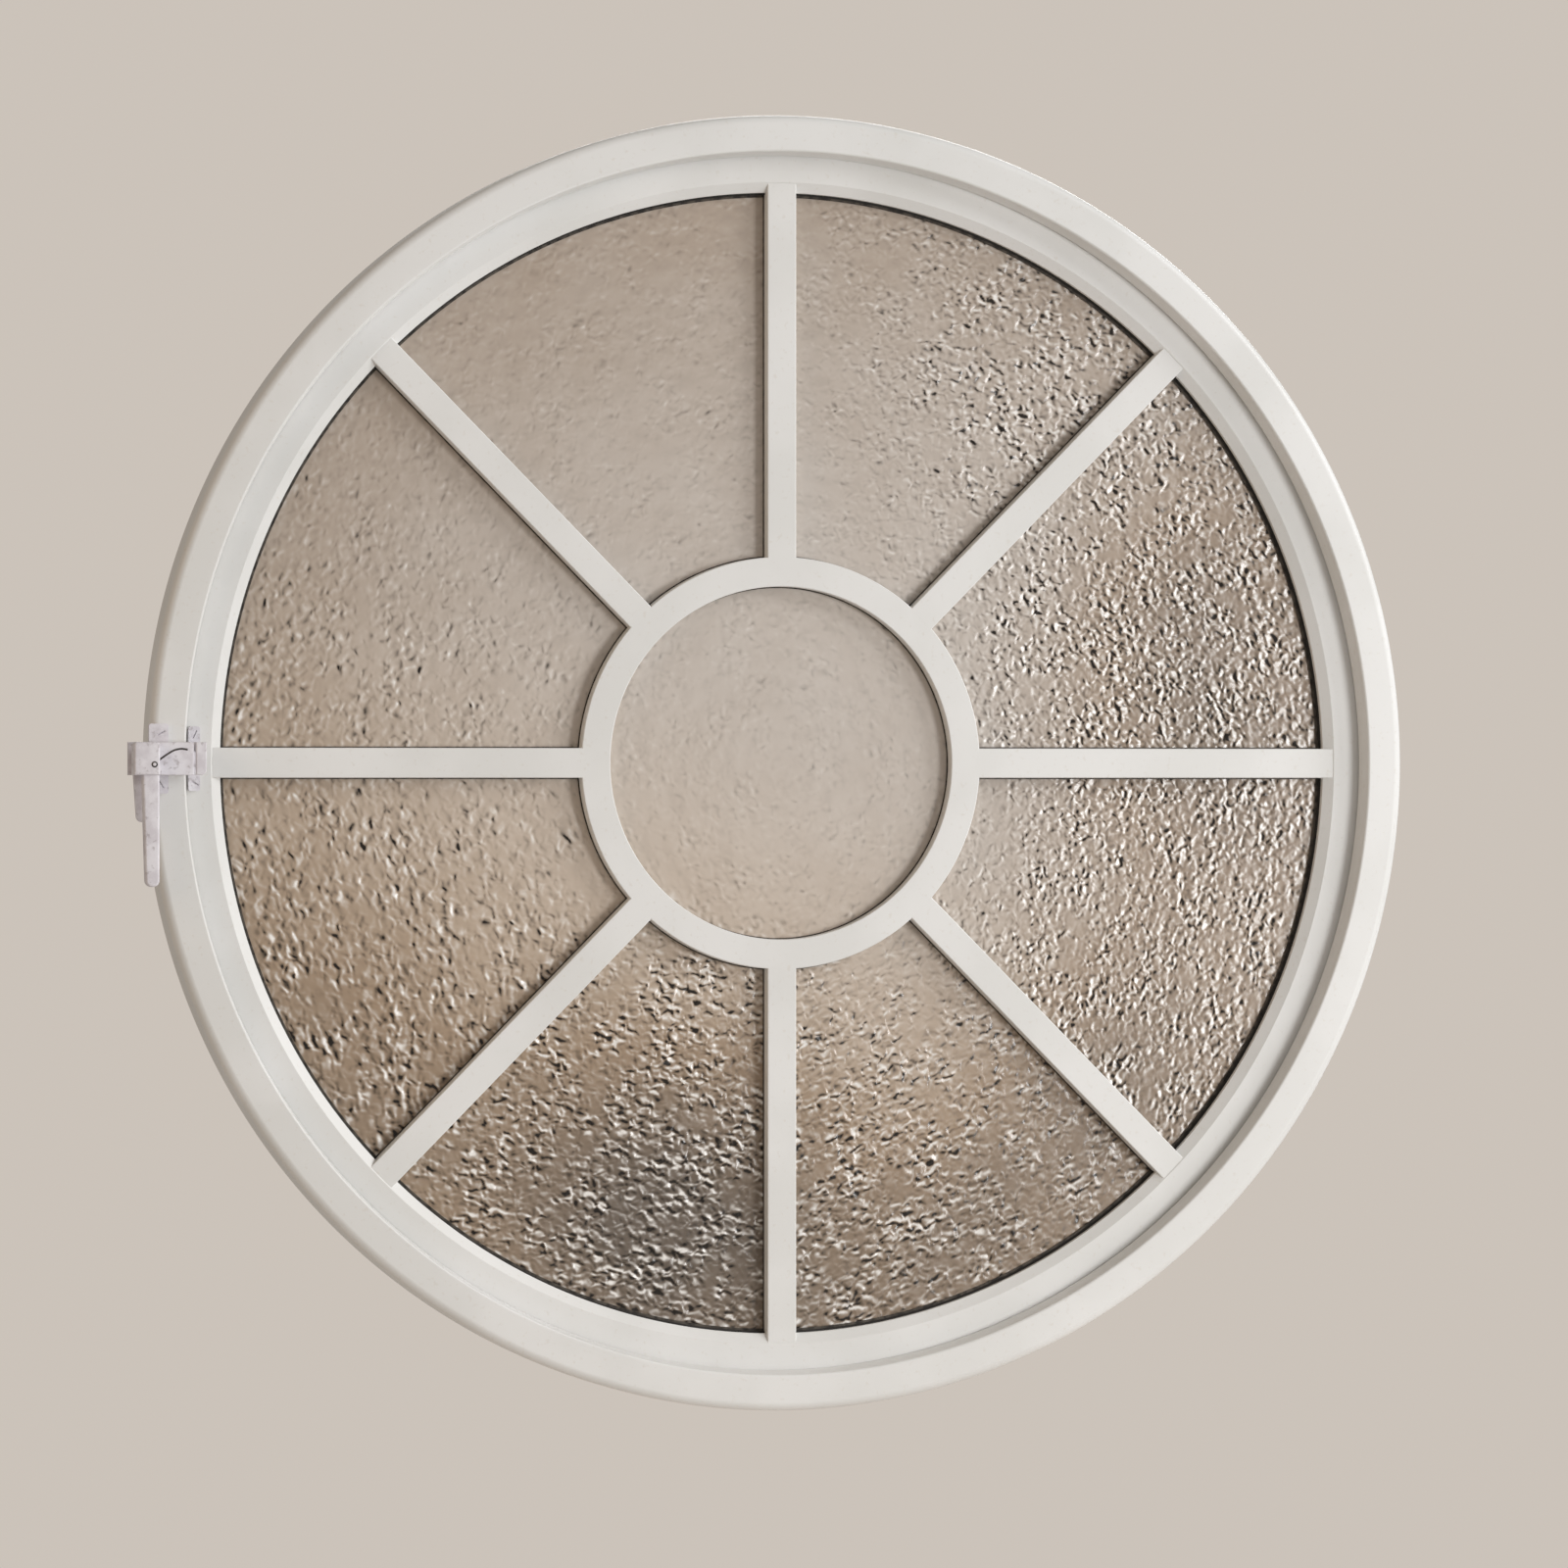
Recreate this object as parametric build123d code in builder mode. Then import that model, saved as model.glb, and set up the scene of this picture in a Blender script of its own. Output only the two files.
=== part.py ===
from build123d import *
import os
from math import asin, cos, degrees, radians, sin

os.makedirs("parts", exist_ok=True)

# Round side-hung window, 1 m across, that opens outwards.
# The wall plane is y = 0. The room lies towards -Y, the open air towards +Y, and +Z is up.
# The origin is the centre of the circle, where the frame's flange meets the wall.

# Frame ring, as radius and depth
frame_radius = 500.0          # outside of the flange seen from the room
face_width = 27.8             # flat white face of the frame
face_projection = 28.0        # how far the flange stands off the wall
face_round = 6.5              # rounded outer edge of the flange
inner_round = 1.2             # eased inner edge of the flange
bore_splay = 3.0              # the bore narrows by this towards the sash
frame_depth = 58.0            # whole frame, room side to weather side
wall_lap = 14.0               # flange beyond the edge of the wall opening
jamb_wall = 4.0
flange_wall = 3.5
flange_front_wall = 6.0
fixing_hole_radius = 2.75
fixing_hole_count = 6
fixing_hole_depth = 18.0      # from the wall plane

# Sash ring
sash_recess = 17.0            # sash face behind the front of the frame
stop_gap = 1.5                # between the sash face and the frame's stop
sash_gap = 3.5                # between the sash edge and the jamb
sash_edge_wall = 4.5
sash_plate = 6.0
sash_edge_round = 0.8
sash_face_width = 29.2        # flat face between the edge and the bevel
bevel_width = 7.9
bevel_depth = 4.5
lip_thickness = 9.0
glazing_rebate = 15.1         # from the lip's inner edge to the wall round the glass
pocket_rib = 4.0
pocket_rib_depth = 16.0
boss_radius = 4.5
boss_hole_radius = 1.6
bead_screw_count = 8

# Glass and glazing bars
glass_thickness = 4.0
glass_edge_gap = 1.5
gasket_thickness = 2.5
gasket_showing = 1.4          # black rubber that shows inside the lip
gasket_width = 7.5
rear_gasket_width = 12.7
bar_width = 23.0
bar_drop = 0.5                # bar faces behind the sash face
bar_round = 0.8
web_thickness = 4.0
web_gap = 1.0
spoke_count = 8
ring_outer_radius = 159.5
rear_bar_thickness = 7.5
rear_bar_chamfer = 2.0
joint_gap = 0.1               # between pieces that butt together

# Rear glazing bead, a Z section
bead_thickness = 3.0
bead_slope = 9.2
bead_foot = 14.2
bead_bend = 4.5               # foot's inner edge to the sloping part's back
bead_gap = 0.5

# Seal in the frame's stop
seal_width = 2.8
seal_groove_depth = 3.0
seal_inset = 2.6              # from the bore to the seal
seal_gap = 0.3
seal_round = 1.1

# Hinges on the right, on the weather side
hinge_inset = 10.0            # pin axis inside the spigot's radius
hinge_barrel_radius = 5.0
hinge_pin_radius = 2.5
hinge_pin_head = 4.0
hinge_pin_end = 2.5
hinge_running_gap = 0.05
hinge_lift = 5.5              # pin axis beyond the weather face
hinge_start = 18.0            # height of the nearer end of each hinge
hinge_length = 44.0
hinge_knuckle = 13.0
hinge_knuckle_gap = 0.4
hinge_leaf = 2.5
hinge_leaf_round = 4.0
hinge_leaf_clearance = 0.7    # sash leaf to the frame's knuckles
hinge_frame_leaf = 2.1
hinge_frame_leaf_depth = 20.0
hinge_sash_leaf_width = 34.0
hinge_screw_reach = 12.0      # each screw from the middle of its leaf

# Latch on the left: base, spindle and tongue
latch_lean_out = 7.0          # spindle beyond the frame's outer edge
latch_axis_z = 3.0
latch_height = 25.0
latch_plate = 3.5
latch_overhang = 10.0         # plate beyond the spindle
latch_round = 2.0
bearing_radius = 6.4
bearing_length = 7.5
tongue_thickness = 4.0
tongue_gap = 0.5              # tongue to the plate under it
tongue_width = 9.0
tongue_root_radius = 7.5
tongue_reach = 48.0
tongue_side_gap = 1.1         # tongue to the strike's post when it is turned across
hood_gap = 0.8
hood_thickness = 3.2
hood_wall = 4.0
hood_start = 11.5             # near end of the hood, from the spindle
hood_round = 1.0
lug_width = 15.0
lug_height = 14.0
lug_inset = 6.5               # middle of the lugs inside the frame's edge
lug_screw_shift = 2.0         # screws nearer the middle of the frame's flat face
spindle_radius = 4.0
spindle_square = 8.2
spindle_running_gap = 0.05
spindle_end = 1.2
washer_radius = 6.3
washer_thickness = 1.5
washer_gap = 0.1

# Lever
lever_length = 97.0
lever_top_width = 13.2
lever_tip_width = 10.6
lever_thickness = 7.0
lever_set_back = 2.0          # arm behind the front of its boss
lever_edge_round = 1.8
lever_boss_width = 20.0
lever_boss_thickness = 11.0
lever_boss_round = 2.5
lever_tip_round = 5.1
lever_side = 10.8             # flush right side of boss and arm, from the spindle
lever_clearance = 1.0         # boss to the hood
lever_cap_thickness = 2.5     # boss left in front of the spindle

# Strike on the sash
strike_gap = 2.9              # strike to the frame's bore
strike_to_hood = 1.9
strike_width = 8.0
strike_foot_thickness = 3.0
strike_foot_lap = 1.0
strike_lug_height = 12.0
strike_round = 4.0

# Screws
screw_head_radius = 3.4
screw_shank_radius = 1.75
screw_gap = 0.05
screw_head_angle = 90.0
pilot_extra = 0.5             # hole deeper than its screw
cut_through = 12.0            # longer than any wall that a hole goes through
pan_head_height = 2.2
pan_head_round = 1.2
bead_screw_length = 12.0
latch_screw_length = 8.0
strike_screw_length = 7.5
hinge_screw_length = 14.0
leaf_screw_length = 5.5

# Radii and depths that follow
face_inner_radius = frame_radius - face_width
bore_back_radius = face_inner_radius - bore_splay
spigot_radius = frame_radius - wall_lap
rebate_radius = spigot_radius - jamb_wall
front_y = -face_projection
weather_y = front_y + frame_depth
sash_face_y = front_y + sash_recess
stop_back_y = sash_face_y - stop_gap
sash_radius = rebate_radius - sash_gap
lip_radius = sash_radius - sash_face_width
lip_inner_radius = lip_radius - bevel_width
pocket_radius = lip_inner_radius + glazing_rebate
lip_back_y = sash_face_y + lip_thickness
gasket_inner_radius = lip_inner_radius - gasket_showing
glass_front_y = lip_back_y + gasket_thickness
glass_back_y = glass_front_y + glass_thickness
bar_face_y = sash_face_y + bar_drop
bead_foot_y = glass_back_y + gasket_thickness
bead_inner_radius = pocket_radius - bead_gap - bead_foot
ring_web_radius = ring_outer_radius - bar_width / 2
channel_inner_radius = pocket_radius + pocket_rib
channel_outer_radius = sash_radius - sash_edge_wall
channel_floor_y = sash_face_y + sash_plate
boss_circle = (channel_inner_radius + channel_outer_radius) / 2
boss_top_y = weather_y - bead_thickness
seal_middle_radius = bore_back_radius + seal_inset + seal_width / 2

# Hinge places
hinge_x = spigot_radius - hinge_inset
hinge_y = weather_y + hinge_lift
hinge_middle = hinge_start + hinge_length / 2
leaf_outer_radius = rebate_radius - joint_gap
leaf_inner_radius = leaf_outer_radius - hinge_frame_leaf
sash_leaf_end_x = hinge_x - hinge_barrel_radius - hinge_leaf_clearance

# Latch places
latch_axis_x = -frame_radius - latch_lean_out
plate_left_x = latch_axis_x - latch_overhang
plate_right_x = -face_inner_radius - inner_round
plate_top_y = front_y - latch_plate
latch_top_z = latch_axis_z + latch_height / 2
latch_bottom_z = latch_axis_z - latch_height / 2
lug_x = -frame_radius + lug_inset
bearing_end_y = front_y + bearing_length
tongue_back_y = plate_top_y - tongue_gap
tongue_front_y = tongue_back_y - tongue_thickness
hood_back_y = tongue_front_y - hood_gap
hood_front_y = hood_back_y - hood_thickness
lever_back_y = hood_front_y - lever_clearance
lever_front_y = lever_back_y - lever_boss_thickness
strike_left_x = -bore_back_radius + strike_gap
strike_middle_x = strike_left_x + strike_width / 2
strike_foot_y = sash_face_y - strike_foot_thickness
hood_left_x = latch_axis_x + hood_start
hood_right_x = strike_left_x - strike_to_hood

above = (Align.CENTER, Align.MIN)
below = (Align.CENTER, Align.MAX)
into = (Align.CENTER, Align.CENTER, Align.MAX)


def facing_room(depth):
    """Plane parallel to the wall at the given depth, with its normal towards the room."""
    return Plane.XZ.offset(-depth)


def spot_facing_room(x, depth, z):
    """Plane at a point, parallel to the wall, with its normal towards the room."""
    return Plane(origin=(x, depth, z), x_dir=(1, 0, 0), z_dir=(0, -1, 0))


def spot_facing_out(x, depth, z):
    """Plane at a point, parallel to the wall, with its normal towards the open air."""
    return Plane(origin=(x, depth, z), x_dir=(1, 0, 0), z_dir=(0, 1, 0))


def spot_on_ring(radius, depth, angle):
    """Plane on a ring's inner wall, with its normal towards the ring's middle."""
    across = (cos(radians(angle)), 0, sin(radians(angle)))
    origin = (radius * across[0], depth, radius * across[2])
    return Plane(origin=origin, x_dir=(0, 1, 0), z_dir=(-across[0], 0, -across[2]))


def countersunk_screws(places, length):
    """Countersunk screws with their heads flush in the planes given."""
    with BuildPart() as screws:
        with Locations(*places):
            Cone(
                screw_shank_radius,
                screw_head_radius,
                screw_head_radius - screw_shank_radius,
                align=into,
            )
            Cylinder(screw_shank_radius, length, align=into)
    return screws.part


def countersunk_holes(places, wall):
    """Countersunk clearance holes through a wall, in the part that is being built."""
    with Locations(*places):
        CounterSinkHole(
            screw_shank_radius + joint_gap,
            screw_head_radius + joint_gap,
            depth=2 * wall,
            counter_sink_angle=screw_head_angle,
        )


# Screw places, each a plane at the middle of a head
hinge_heights = [
    side * hinge_middle + step * hinge_screw_reach for side in (1, -1) for step in (-1, 1)
]
frame_leaf_places = [
    spot_on_ring(
        leaf_inner_radius,
        weather_y - hinge_frame_leaf_depth / 2,
        degrees(asin(height / leaf_inner_radius)),
    )
    for height in hinge_heights
]
sash_leaf_places = [
    spot_facing_out(boss_circle - boss_radius, weather_y + hinge_leaf, height)
    for height in hinge_heights
]
latch_places = [
    spot_facing_room(lug_x + lug_screw_shift, plate_top_y, height)
    for height in (latch_top_z + lug_height / 2, latch_bottom_z - lug_height / 2)
]
strike_places = [
    spot_facing_room(strike_middle_x, strike_foot_y, height)
    for height in (
        latch_top_z + strike_lug_height / 2,
        latch_bottom_z - strike_lug_height / 2,
    )
]
bead_places = PolarLocations(
    boss_circle, bead_screw_count, start_angle=180 / bead_screw_count
)

# Frame: a flange with an open back, a splayed bore, a stop and the spigot in the wall
with BuildPart() as frame_ring:
    with BuildSketch(Plane.XY):
        with BuildLine():
            Polyline(
                (face_inner_radius, front_y),
                (frame_radius, front_y),
                (frame_radius, 0),
                (frame_radius - flange_wall, 0),
                (frame_radius - flange_wall, front_y + flange_front_wall),
                (spigot_radius + flange_wall, front_y + flange_front_wall),
                (spigot_radius + flange_wall, 0),
                (spigot_radius, 0),
                (spigot_radius, weather_y),
                (rebate_radius, weather_y),
                (rebate_radius, stop_back_y),
                (bore_back_radius, stop_back_y),
                close=True,
            )
        front_corners = make_face().vertices().group_by(Axis.Y)[0].sort_by(Axis.X)
        fillet(front_corners[-1], radius=face_round)
        fillet(front_corners[0], radius=inner_round)
        with Locations((seal_middle_radius, stop_back_y)):
            Rectangle(
                seal_width + 2 * joint_gap, seal_groove_depth, align=below, mode=Mode.SUBTRACT
            )
    revolve(axis=Axis.Y)
    for index in range(fixing_hole_count):
        angle = 360 / fixing_hole_count * (index + 0.5)
        with Locations(spot_on_ring(rebate_radius - jamb_wall, fixing_hole_depth, angle)):
            Cylinder(fixing_hole_radius, cut_through, align=into, mode=Mode.SUBTRACT)
    pilot_radius = screw_shank_radius + screw_gap
    with Locations(*latch_places):
        Cylinder(pilot_radius, latch_screw_length + pilot_extra, align=into, mode=Mode.SUBTRACT)
    with Locations(*frame_leaf_places):
        Cylinder(pilot_radius, cut_through, align=into, mode=Mode.SUBTRACT)
frame_ring.part.label = "frame_ring"
export_step(frame_ring.part, "parts/frame_ring.step")

# Seal that the closed sash presses on
with BuildPart() as stop_seal:
    with BuildSketch(Plane.XY):
        with Locations((seal_middle_radius, sash_face_y - seal_gap)):
            seal_height = seal_groove_depth + stop_gap - seal_gap - joint_gap
            seal_face = Rectangle(seal_width, seal_height, align=below)
        fillet(seal_face.vertices().group_by(Axis.Y)[-1], radius=seal_round)
    revolve(axis=Axis.Y)
stop_seal.part.label = "stop_seal"
export_step(stop_seal.part, "parts/stop_seal.step")

# Sash ring: front plate with a bevelled lip, edge wall, rib round the glass, screw bosses
with BuildPart() as sash_ring:
    with BuildSketch(Plane.XY):
        with BuildLine():
            Polyline(
                (lip_radius, sash_face_y),
                (sash_radius, sash_face_y),
                (sash_radius, weather_y),
                (channel_outer_radius, weather_y),
                (channel_outer_radius, channel_floor_y),
                (channel_inner_radius, channel_floor_y),
                (channel_inner_radius, lip_back_y + pocket_rib_depth),
                (pocket_radius, lip_back_y + pocket_rib_depth),
                (pocket_radius, lip_back_y),
                (lip_inner_radius, lip_back_y),
                (lip_inner_radius, sash_face_y + bevel_depth),
                close=True,
            )
        sash_corners = make_face().vertices().group_by(Axis.Y)[0]
        fillet(sash_corners, radius=sash_edge_round)
    revolve(axis=Axis.Y)
    boss_height = boss_top_y - channel_floor_y
    with BuildSketch(facing_room(boss_top_y)):
        with bead_places:
            Circle(boss_radius)
    extrude(amount=boss_height)
    with BuildSketch(facing_room(boss_top_y)):
        with Locations((boss_circle, hinge_middle), (boss_circle, -hinge_middle)):
            Rectangle(4 * boss_radius, hinge_length)
        Circle(channel_outer_radius + joint_gap, mode=Mode.INTERSECT)
        Circle(channel_inner_radius - joint_gap, mode=Mode.SUBTRACT)
    extrude(amount=boss_height)
    with BuildSketch(facing_room(boss_top_y)):
        with bead_places:
            Circle(boss_hole_radius)
    extrude(amount=bead_screw_length, mode=Mode.SUBTRACT)
    with Locations(*sash_leaf_places):
        Cylinder(pilot_radius, hinge_screw_length + pilot_extra, align=into, mode=Mode.SUBTRACT)
    with Locations(*strike_places):
        Cylinder(pilot_radius, strike_screw_length + pilot_extra, align=into, mode=Mode.SUBTRACT)
sash_ring.part.label = "sash_ring"
export_step(sash_ring.part, "parts/sash_ring.step")

# Rubber between the lip and the glass, and behind the glass
with BuildPart() as front_gasket:
    with BuildSketch(Plane.XY):
        with Locations((gasket_inner_radius, lip_back_y)):
            Rectangle(gasket_width, gasket_thickness, align=(Align.MIN, Align.MIN))
    revolve(axis=Axis.Y)
front_gasket.part.label = "front_gasket"
export_step(front_gasket.part, "parts/front_gasket.step")

with BuildPart() as rear_gasket:
    with BuildSketch(Plane.XY):
        with Locations((pocket_radius - glass_edge_gap, glass_back_y)):
            Rectangle(rear_gasket_width, gasket_thickness, align=(Align.MAX, Align.MIN))
    revolve(axis=Axis.Y)
rear_gasket.part.label = "rear_gasket"
export_step(rear_gasket.part, "parts/rear_gasket.step")

# Rear bead: it clamps the glass and covers the screw channel
with BuildPart() as rear_bead:
    with BuildSketch(Plane.XY):
        bead_top_radius = bead_inner_radius + bead_slope
        bead_outer_radius = channel_outer_radius - bead_gap
        with BuildLine():
            Polyline(
                (bead_inner_radius, bead_foot_y),
                (bead_inner_radius, bead_foot_y + bead_thickness),
                (bead_top_radius, weather_y),
                (bead_outer_radius, weather_y),
                (bead_outer_radius, boss_top_y),
                (bead_top_radius + bead_thickness, boss_top_y),
                (bead_inner_radius + bead_bend, bead_foot_y + bead_thickness),
                (bead_inner_radius + bead_foot, bead_foot_y + bead_thickness),
                (bead_inner_radius + bead_foot, bead_foot_y),
                close=True,
            )
        make_face()
    revolve(axis=Axis.Y)
    with BuildSketch(facing_room(weather_y)):
        with bead_places:
            Circle(pilot_radius)
    extrude(amount=bead_thickness, mode=Mode.SUBTRACT)
    with Locations(*sash_leaf_places):
        Cylinder(pilot_radius, cut_through, align=into, mode=Mode.SUBTRACT)
rear_bead.part.label = "rear_bead"
export_step(rear_bead.part, "parts/rear_bead.step")

with BuildPart() as rear_bead_screws:
    with BuildSketch(facing_room(weather_y)):
        with bead_places:
            Circle(boss_hole_radius - screw_gap)
    extrude(amount=bead_screw_length)
    with BuildSketch(facing_room(weather_y)):
        with bead_places:
            Circle(screw_head_radius)
    extrude(amount=-pan_head_height)
    fillet(rear_bead_screws.edges().group_by(Axis.Y)[-1], radius=pan_head_round)
rear_bead_screws.part.label = "rear_bead_screws"
export_step(rear_bead_screws.part, "parts/rear_bead_screws.step")

# Centre ring of the glazing bars, a T section turned round, and its cap behind the glass
with BuildPart() as centre_ring:
    with BuildSketch(Plane.XY):
        with Locations((ring_web_radius, bar_face_y)):
            cap = Rectangle(bar_width, glass_front_y - bar_face_y, align=above)
        fillet(cap.vertices().group_by(Axis.Y)[0], radius=bar_round)
        with Locations((ring_web_radius, glass_front_y)):
            Rectangle(web_thickness, glass_thickness, align=above)
    revolve(axis=Axis.Y)
centre_ring.part.label = "centre_ring"
export_step(centre_ring.part, "parts/centre_ring.step")

with BuildPart() as centre_rear_ring:
    with BuildSketch(Plane.XY):
        with Locations((ring_web_radius, glass_back_y)):
            rear_cap = Rectangle(bar_width, rear_bar_thickness, align=above)
        chamfer(rear_cap.vertices().group_by(Axis.Y)[-1], length=rear_bar_chamfer)
    revolve(axis=Axis.Y)
centre_rear_ring.part.label = "centre_rear_ring"
export_step(centre_rear_ring.part, "parts/centre_rear_ring.step")

# Spokes: T sections from the centre ring to the sash lip, cut to the ring and the bevel,
# each with a cap behind the glass
for index in range(spoke_count):
    angle = radians(360 / spoke_count * index)
    along = Plane(
        origin=(0, 0, 0), x_dir=(sin(angle), 0, -cos(angle)), z_dir=(cos(angle), 0, sin(angle))
    )
    with BuildPart() as spoke_bar:
        with BuildSketch(along.offset(ring_web_radius)):
            with Locations((0, bar_face_y)):
                cap = Rectangle(bar_width, glass_front_y - bar_face_y, align=above)
            fillet(cap.vertices().group_by(Axis.Y)[0], radius=bar_round)
        extrude(amount=lip_radius - ring_web_radius)
        with BuildSketch(Plane.XY):
            with Locations((0, front_y)):
                Rectangle(
                    ring_outer_radius + joint_gap,
                    glass_front_y - front_y,
                    align=(Align.MIN, Align.MIN),
                )
            with BuildLine():
                Polyline(
                    (lip_radius - joint_gap, front_y),
                    (lip_radius - joint_gap, sash_face_y),
                    (lip_inner_radius - joint_gap, sash_face_y + bevel_depth),
                    (lip_inner_radius - joint_gap, lip_back_y - joint_gap),
                    (gasket_inner_radius - joint_gap, lip_back_y - joint_gap),
                    (gasket_inner_radius - joint_gap, glass_front_y),
                    (sash_radius, glass_front_y),
                    (sash_radius, front_y),
                    close=True,
                )
            make_face()
        revolve(axis=Axis.Y, mode=Mode.SUBTRACT)
        web_start = ring_web_radius + web_thickness / 2 + joint_gap
        with BuildSketch(along.offset(web_start)):
            with Locations((0, glass_front_y)):
                Rectangle(web_thickness, glass_thickness, align=above)
        extrude(amount=pocket_radius - joint_gap - web_start)
    spoke_bar.part.label = f"spoke_bar_{index + 1}"
    export_step(spoke_bar.part, f"parts/spoke_bar_{index + 1}.step")

    with BuildPart() as rear_bar:
        with BuildSketch(along.offset(ring_web_radius)):
            with Locations((0, glass_back_y)):
                rear_cap = Rectangle(bar_width, rear_bar_thickness, align=above)
            chamfer(rear_cap.vertices().group_by(Axis.Y)[-1], length=rear_bar_chamfer)
        extrude(amount=lip_radius - ring_web_radius)
        with BuildSketch(facing_room(glass_back_y)):
            Circle(ring_outer_radius + joint_gap)
            Circle(sash_radius)
            Circle(bead_inner_radius - 2 * joint_gap, mode=Mode.SUBTRACT)
            Circle(ring_outer_radius + joint_gap)
        extrude(amount=-2 * rear_bar_thickness, mode=Mode.SUBTRACT)
    rear_bar.part.label = f"rear_bar_{index + 1}"
    export_step(rear_bar.part, f"parts/rear_bar_{index + 1}.step")

# Panes between the spokes: their sides run parallel to the bars, a web gap away
pane_size = 360 / spoke_count
pane_offset = web_thickness / 2 + web_gap
pane_inner_radius = ring_web_radius + pane_offset
pane_outer_radius = pocket_radius - glass_edge_gap
inner_turn = degrees(asin(pane_offset / pane_inner_radius))
outer_turn = degrees(asin(pane_offset / pane_outer_radius))
for index in range(spoke_count):
    start = pane_size * index
    with BuildPart() as glass_pane:
        with BuildSketch(facing_room(glass_back_y)):
            with BuildLine():
                inner_arc = CenterArc(
                    (0, 0), pane_inner_radius, start + inner_turn, pane_size - 2 * inner_turn
                )
                outer_arc = CenterArc(
                    (0, 0), pane_outer_radius, start + outer_turn, pane_size - 2 * outer_turn
                )
                Line(inner_arc @ 0, outer_arc @ 0)
                Line(inner_arc @ 1, outer_arc @ 1)
            make_face()
        extrude(amount=glass_thickness)
    glass_pane.part.label = f"glass_pane_{index + 1}"
    export_step(glass_pane.part, f"parts/glass_pane_{index + 1}.step")

with BuildPart() as centre_glass:
    with BuildSketch(facing_room(glass_back_y)):
        Circle(ring_web_radius - pane_offset)
    extrude(amount=glass_thickness)
centre_glass.part.label = "centre_glass"
export_step(centre_glass.part, "parts/centre_glass.step")

# Hinges: a curved leaf in the gap by the jamb, a flat leaf on the sash, and a pin
sash_knuckle = hinge_length - 2 * hinge_knuckle - 2 * hinge_knuckle_gap
for index, (name, middle) in enumerate((("upper", hinge_middle), ("lower", -hinge_middle))):
    low = middle - hinge_length / 2
    knuckles = (low + hinge_knuckle / 2, low + hinge_length - hinge_knuckle / 2)
    with BuildPart() as frame_leaf:
        with BuildSketch(facing_room(weather_y)):
            Circle(leaf_outer_radius)
            Circle(leaf_inner_radius, mode=Mode.SUBTRACT)
            with Locations((frame_radius, middle)):
                Rectangle(4 * wall_lap, hinge_length, mode=Mode.INTERSECT)
        extrude(amount=hinge_frame_leaf_depth)
        with BuildSketch(facing_room(hinge_y)):
            Circle(leaf_outer_radius)
            Circle(leaf_inner_radius, mode=Mode.SUBTRACT)
            with Locations(*[(frame_radius, height) for height in knuckles]):
                Rectangle(4 * wall_lap, hinge_knuckle, mode=Mode.INTERSECT)
        extrude(amount=hinge_lift)
        for height in knuckles:
            with BuildSketch(Plane.XY.offset(height - hinge_knuckle / 2)):
                with Locations((hinge_x, hinge_y)):
                    Circle(hinge_barrel_radius)
            extrude(amount=hinge_knuckle)
        with BuildSketch(Plane.XY.offset(low)):
            with Locations((hinge_x, hinge_y)):
                Circle(hinge_pin_radius + hinge_running_gap)
        extrude(amount=hinge_length, mode=Mode.SUBTRACT)
        countersunk_holes(frame_leaf_places[2 * index:2 * index + 2], hinge_frame_leaf)
    frame_leaf.part.label = f"hinge_frame_leaf_{name}"
    export_step(frame_leaf.part, f"parts/hinge_frame_leaf_{name}.step")

    with BuildPart() as sash_leaf:
        with BuildSketch(facing_room(weather_y)):
            with Locations((sash_leaf_end_x, middle)):
                leaf_outline = Rectangle(
                    hinge_sash_leaf_width, hinge_length, align=(Align.MAX, Align.CENTER)
                )
            fillet(leaf_outline.vertices().group_by(Axis.X)[0], radius=hinge_leaf_round)
            with Locations((sash_leaf_end_x, middle)):
                Rectangle(
                    hinge_x - sash_leaf_end_x, sash_knuckle, align=(Align.MIN, Align.CENTER)
                )
        extrude(amount=-hinge_leaf)
        with BuildSketch(Plane.XY.offset(middle - sash_knuckle / 2)):
            with Locations((hinge_x, hinge_y)):
                Circle(hinge_barrel_radius)
        extrude(amount=sash_knuckle)
        with BuildSketch(Plane.XY.offset(low)):
            with Locations((hinge_x, hinge_y)):
                Circle(hinge_pin_radius + hinge_running_gap)
        extrude(amount=hinge_length, mode=Mode.SUBTRACT)
        countersunk_holes(sash_leaf_places[2 * index:2 * index + 2], hinge_leaf)
    sash_leaf.part.label = f"hinge_sash_leaf_{name}"
    export_step(sash_leaf.part, f"parts/hinge_sash_leaf_{name}.step")

    with BuildPart() as hinge_pin:
        with BuildSketch(Plane.XY.offset(low - hinge_pin_end)):
            with Locations((hinge_x, hinge_y)):
                Circle(hinge_pin_radius)
        extrude(amount=hinge_length + hinge_pin_end)
        with BuildSketch(Plane.XY.offset(low + hinge_length)):
            with Locations((hinge_x, hinge_y)):
                Circle(hinge_pin_head)
        extrude(amount=hinge_pin_end)
    hinge_pin.part.label = f"hinge_pin_{name}"
    export_step(hinge_pin.part, f"parts/hinge_pin_{name}.step")

hinge_frame_screws = countersunk_screws(frame_leaf_places, leaf_screw_length)
hinge_frame_screws.label = "hinge_frame_screws"
export_step(hinge_frame_screws, "parts/hinge_frame_screws.step")

hinge_sash_screws = countersunk_screws(sash_leaf_places, hinge_screw_length)
hinge_sash_screws.label = "hinge_sash_screws"
export_step(hinge_sash_screws, "parts/hinge_sash_screws.step")

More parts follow.
